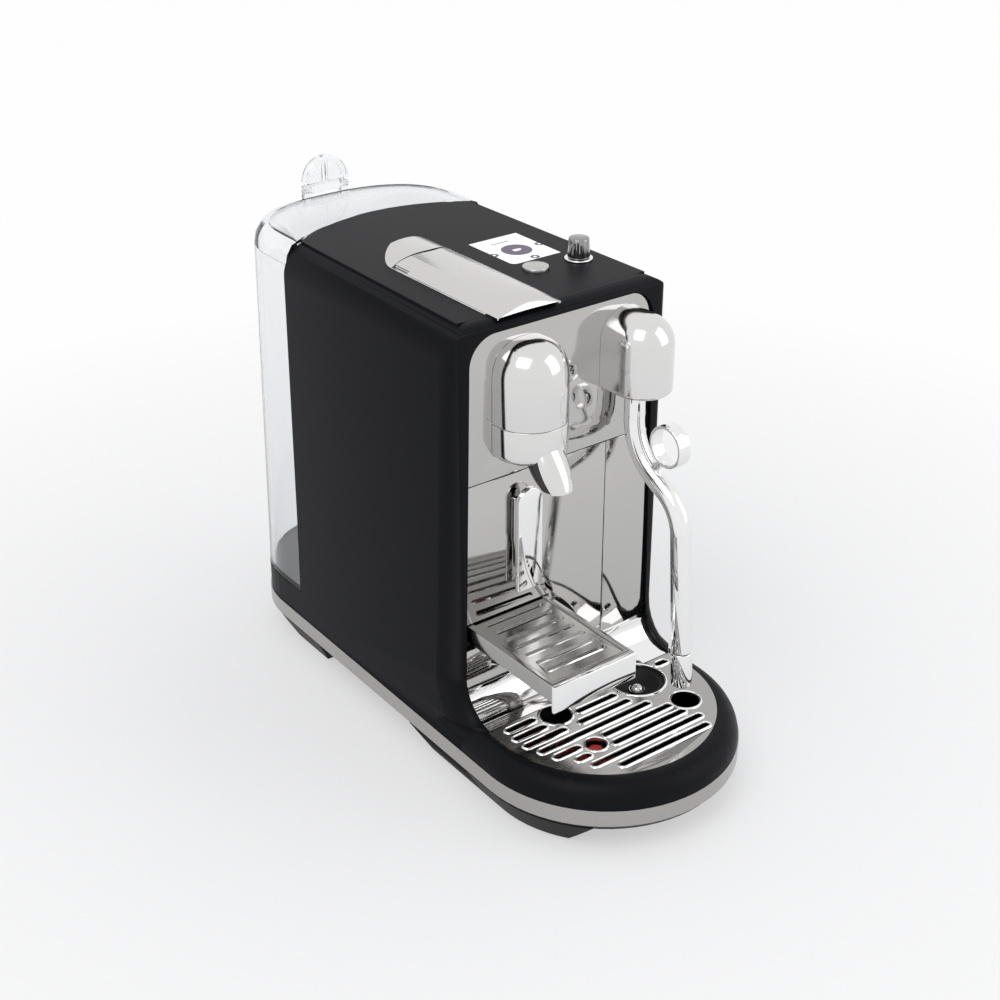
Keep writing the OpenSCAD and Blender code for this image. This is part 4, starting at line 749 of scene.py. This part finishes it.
# pieces that keep the shape of the frame, with their edges softened
softened = [  # node, piece, body, slot, finish, edge
    ("casing", "casingShell", "machine", "casing_black", "casing_black", 0.0),
    ("tray_rim", "trayRim", "tray", "casing_black", "casing_black", 0.0),
    ("face_upper", "facePlateUpper", "machine", "polished", "polished", 0.0003),
    ("face_right", "facePlateRight", "machine", "polished", "polished", 0.0003),
    ("container_door", "containerDoor", "container", "polished", "polished", 0.0003),
    ("container_pull", "containerPull", "container", "polished", "brightSteel", 0.0006),
    ("splash_plate", "splashApron", "machine", "polished", "brightSteel", 0.0),
    ("drip_grid", "dripGrid", "grid", "polished", "gridSteel", 0.0),
    ("cup_frame", "cupSupportFrame", "cup_support", "polished", "gridSteel", 0.0005),
    ("cup_plate", "cupSupportPlate", "cup_support", "polished", "brightSteel", 0.0004),
    ("cup_grid", "cupSupportGrid", "cup_support", "brushed", "gridSteel", 0.0),
    ("base_band", "baseBand", "machine", "brushed", "brushed", 0.0),
    ("tray_band", "trayBand", "tray", "brushed", "brushed", 0.0),
    ("lever_cap", "leverCap", "machine", "brushed", "leverSteel", 0.0003),
    ("lever_trim", "leverTrim", "machine", "polished", "brightSteel", 0.0002),
    ("start_button", "startButton", "start_button", "brushed", "buttonSteel", 0.0004),
    ("dial", "dialKnob", "dial", "polished", "dialChrome", 0.0006),
    ("dial_collar", "dialCollar", "machine", "polished", "brightSteel", 0.0004),
    ("tank_lid", "tankLid", "lid", "clear_tank", "clear_tank", 0.0),
    ("water_tank", "waterTank", "tank", "clear_tank", "clear_tank", 0.0),
    ("tank_handle", "tankHandle", "handle", "clear_tank", "clear_tank", 0.0004),
    ("base_pan", "basePan", "machine", "dark_plastic", "dark_plastic", 0.0),
    ("tray_basin", "trayBasin", "tray", "dark_plastic", "dark_plastic", 0.0),
]
for nodeName, pieceName, body, slotName, finish, edge in softened:
    piece = softenedCopy(nodeName, pieceName, edge, finish)
    declare(piece, body, slotName, nodeName)
print("stage: softened pieces")

screen = {"disc": (0.0314, frontY + 0.0848), "discRadius": 0.0097,
          "marks": [(0.0492, frontY + 0.0851), (0.0141, frontY + 0.0848),
                    (0.0328, frontY + 0.0683)],
          "markRadius": 0.003, "bar": (0.0305, frontY + 0.1008), "barHalf": (0.0068, 0.0008),
          "plum": (0.055, 0.028, 0.075), "slate": (0.035, 0.03, 0.04), "grey": (0.25, 0.25, 0.27),
          "light": (0.86, 0.86, 0.9), "cupShift": (-0.0004, -0.0002),
          "cupHalf": (0.0022, 0.0017), "cupHandle": (0.0022, 0.0012), "glow": 0.35}


def paintScreen():  # a plain round mark with a light cup shape, three small marks and a bar
    material = materials["display_white"]
    tree = material.node_tree
    surface = tree.nodes["Principled BSDF"]
    place = tree.nodes.new("ShaderNodeTexCoord")
    split = tree.nodes.new("ShaderNodeSeparateXYZ")
    tree.links.new(place.outputs["Object"], split.inputs["Vector"])
    x, y = split.outputs["X"], split.outputs["Y"]

    def within(center, radius):
        dx = mathNode(tree, "SUBTRACT", x, center[0])
        dy = mathNode(tree, "SUBTRACT", y, center[1])
        squares = mathNode(tree, "ADD", mathNode(tree, "MULTIPLY", dx, dx),
                           mathNode(tree, "MULTIPLY", dy, dy))
        return mathNode(tree, "LESS_THAN", squares, radius * radius)

    def withinBox(center, half):
        inX = mathNode(tree, "LESS_THAN",
                       mathNode(tree, "ABSOLUTE", mathNode(tree, "SUBTRACT", x, center[0])),
                       half[0])
        inY = mathNode(tree, "LESS_THAN",
                       mathNode(tree, "ABSOLUTE", mathNode(tree, "SUBTRACT", y, center[1])),
                       half[1])
        return mathNode(tree, "MULTIPLY", inX, inY)

    color = blendColors(tree, within(screen["disc"], screen["discRadius"]), screen["light"],
                        screen["plum"])
    discX, discY = screen["disc"]
    shiftX, shiftY = screen["cupShift"]
    cup = withinBox((discX + shiftX, discY + shiftY), screen["cupHalf"])
    color = blendColors(tree, cup, color, screen["light"])
    handleReach, handleRadius = screen["cupHandle"]
    handle = within((discX + handleReach, discY), handleRadius)
    color = blendColors(tree, handle, color, screen["light"])
    for center in screen["marks"]:
        color = blendColors(tree, within(center, screen["markRadius"]), color, screen["slate"])
        color = blendColors(tree, within(center, screen["markRadius"] * 0.4), color,
                            screen["light"])
    bar = withinBox(screen["bar"], screen["barHalf"])
    color = blendColors(tree, bar, color, screen["grey"])
    tree.links.new(color, surface.inputs["Base Color"])
    tree.links.new(color, surface.inputs["Emission Color"])
    surface.inputs["Emission Strength"].default_value = screen["glow"]


paintScreen()
print("stage: display")

studio = {"cameraPlace": (-0.57713, -0.76879, 0.65165), "cameraTurn": 37.176,
          "cameraDip": 27.845, "lens": 61.347, "floorSize": 12, "floorColor": (0.84, 0.84, 0.84),
          "floorDrop": 0.0002, "farGlow": 0.97, "nearGlow": 0.5, "shadowReach": (0.2, 0.75),
          "worldColor": (0.9, 0.92, 0.95), "worldStrength": 0.75, "aim": (0, 0, 0.15),
          "lamps": [("keyLamp", (-0.9, -0.5, 1.4), (0.9, 0.9), 7),
                    ("fillLamp", (0.9, -1.0, 0.8), (0.8, 1.2), 4)]}


def seenDirectly(tree):  # 1 on camera, glossy and transmission rays
    path = tree.nodes.new("ShaderNodeLightPath")
    either = mathNode(tree, "MAXIMUM", path.outputs["Is Camera Ray"],
                      path.outputs["Is Glossy Ray"])
    return mathNode(tree, "MAXIMUM", either, path.outputs["Is Transmission Ray"])


def buildFloor():
    bpy.ops.mesh.primitive_plane_add(size=studio["floorSize"],
                                     location=(0, 0, -studio["floorDrop"]))
    floor = bpy.context.object
    floor.name = "studioFloor"
    material = bpy.data.materials.new("paleFloor")
    material.use_nodes = True
    tree = material.node_tree
    surface = tree.nodes["Principled BSDF"]
    surface.inputs["Base Color"].default_value = (*studio["floorColor"], 1)
    surface.inputs["Roughness"].default_value = 0.8
    surface.inputs["Specular IOR Level"].default_value = 0.0
    glow = tree.nodes.new("ShaderNodeEmission")
    glow.inputs["Color"].default_value = (1, 1, 1, 1)
    mix = tree.nodes.new("ShaderNodeMixShader")
    place = tree.nodes.new("ShaderNodeTexCoord")
    length = tree.nodes.new("ShaderNodeVectorMath")
    length.operation = "LENGTH"
    tree.links.new(place.outputs["Object"], length.inputs[0])
    away = rampTo(tree, length.outputs["Value"], studio["nearGlow"], studio["farGlow"],
                  *studio["shadowReach"])
    tree.links.new(mathNode(tree, "MULTIPLY", seenDirectly(tree), away), mix.inputs["Fac"])
    tree.links.new(surface.outputs["BSDF"], mix.inputs[1])
    tree.links.new(glow.outputs["Emission"], mix.inputs[2])
    tree.links.new(mix.outputs["Shader"], tree.nodes["Material Output"].inputs["Surface"])
    floor.data.materials.append(material)


def buildWorld():
    world = bpy.data.worlds.new("studioWorld")
    bpy.context.scene.world = world
    world.use_nodes = True
    tree = world.node_tree
    tree.nodes.clear()
    out = tree.nodes.new("ShaderNodeOutputWorld")
    seen = tree.nodes.new("ShaderNodeBackground")
    seen.inputs["Color"].default_value = (1, 1, 1, 1)
    lit = tree.nodes.new("ShaderNodeBackground")
    lit.inputs["Color"].default_value = (*studio["worldColor"], 1)
    lit.inputs["Strength"].default_value = studio["worldStrength"]
    mix = tree.nodes.new("ShaderNodeMixShader")
    tree.links.new(seenDirectly(tree), mix.inputs["Fac"])
    tree.links.new(lit.outputs["Background"], mix.inputs[1])
    tree.links.new(seen.outputs["Background"], mix.inputs[2])
    tree.links.new(mix.outputs["Shader"], out.inputs["Surface"])


def addLamp(name, place, size, power):
    bpy.ops.object.light_add(type="AREA", location=place)
    lamp = bpy.context.object
    lamp.name = name
    lamp.data.shape = "RECTANGLE"
    lamp.data.size, lamp.data.size_y = size
    lamp.data.energy = power
    toward = Vector(studio["aim"]) - Vector(place)
    lamp.rotation_euler = toward.to_track_quat("-Z", "Y").to_euler()


def addCamera():
    bpy.ops.object.camera_add(
        location=studio["cameraPlace"],
        rotation=(math.radians(90 - studio["cameraDip"]), 0,
                  math.radians(-studio["cameraTurn"])))
    camera = bpy.context.object
    camera.name = "viewCamera"
    camera.data.lens = studio["lens"]
    camera.data.sensor_width = 36
    camera.data.clip_start = 0.01
    bpy.context.scene.camera = camera


buildFloor()
buildWorld()
for lampName, place, size, power in studio["lamps"]:
    addLamp(lampName, place, size, power)
addCamera()
bpy.context.scene.view_settings.view_transform = "Standard"

print("stage: studio")
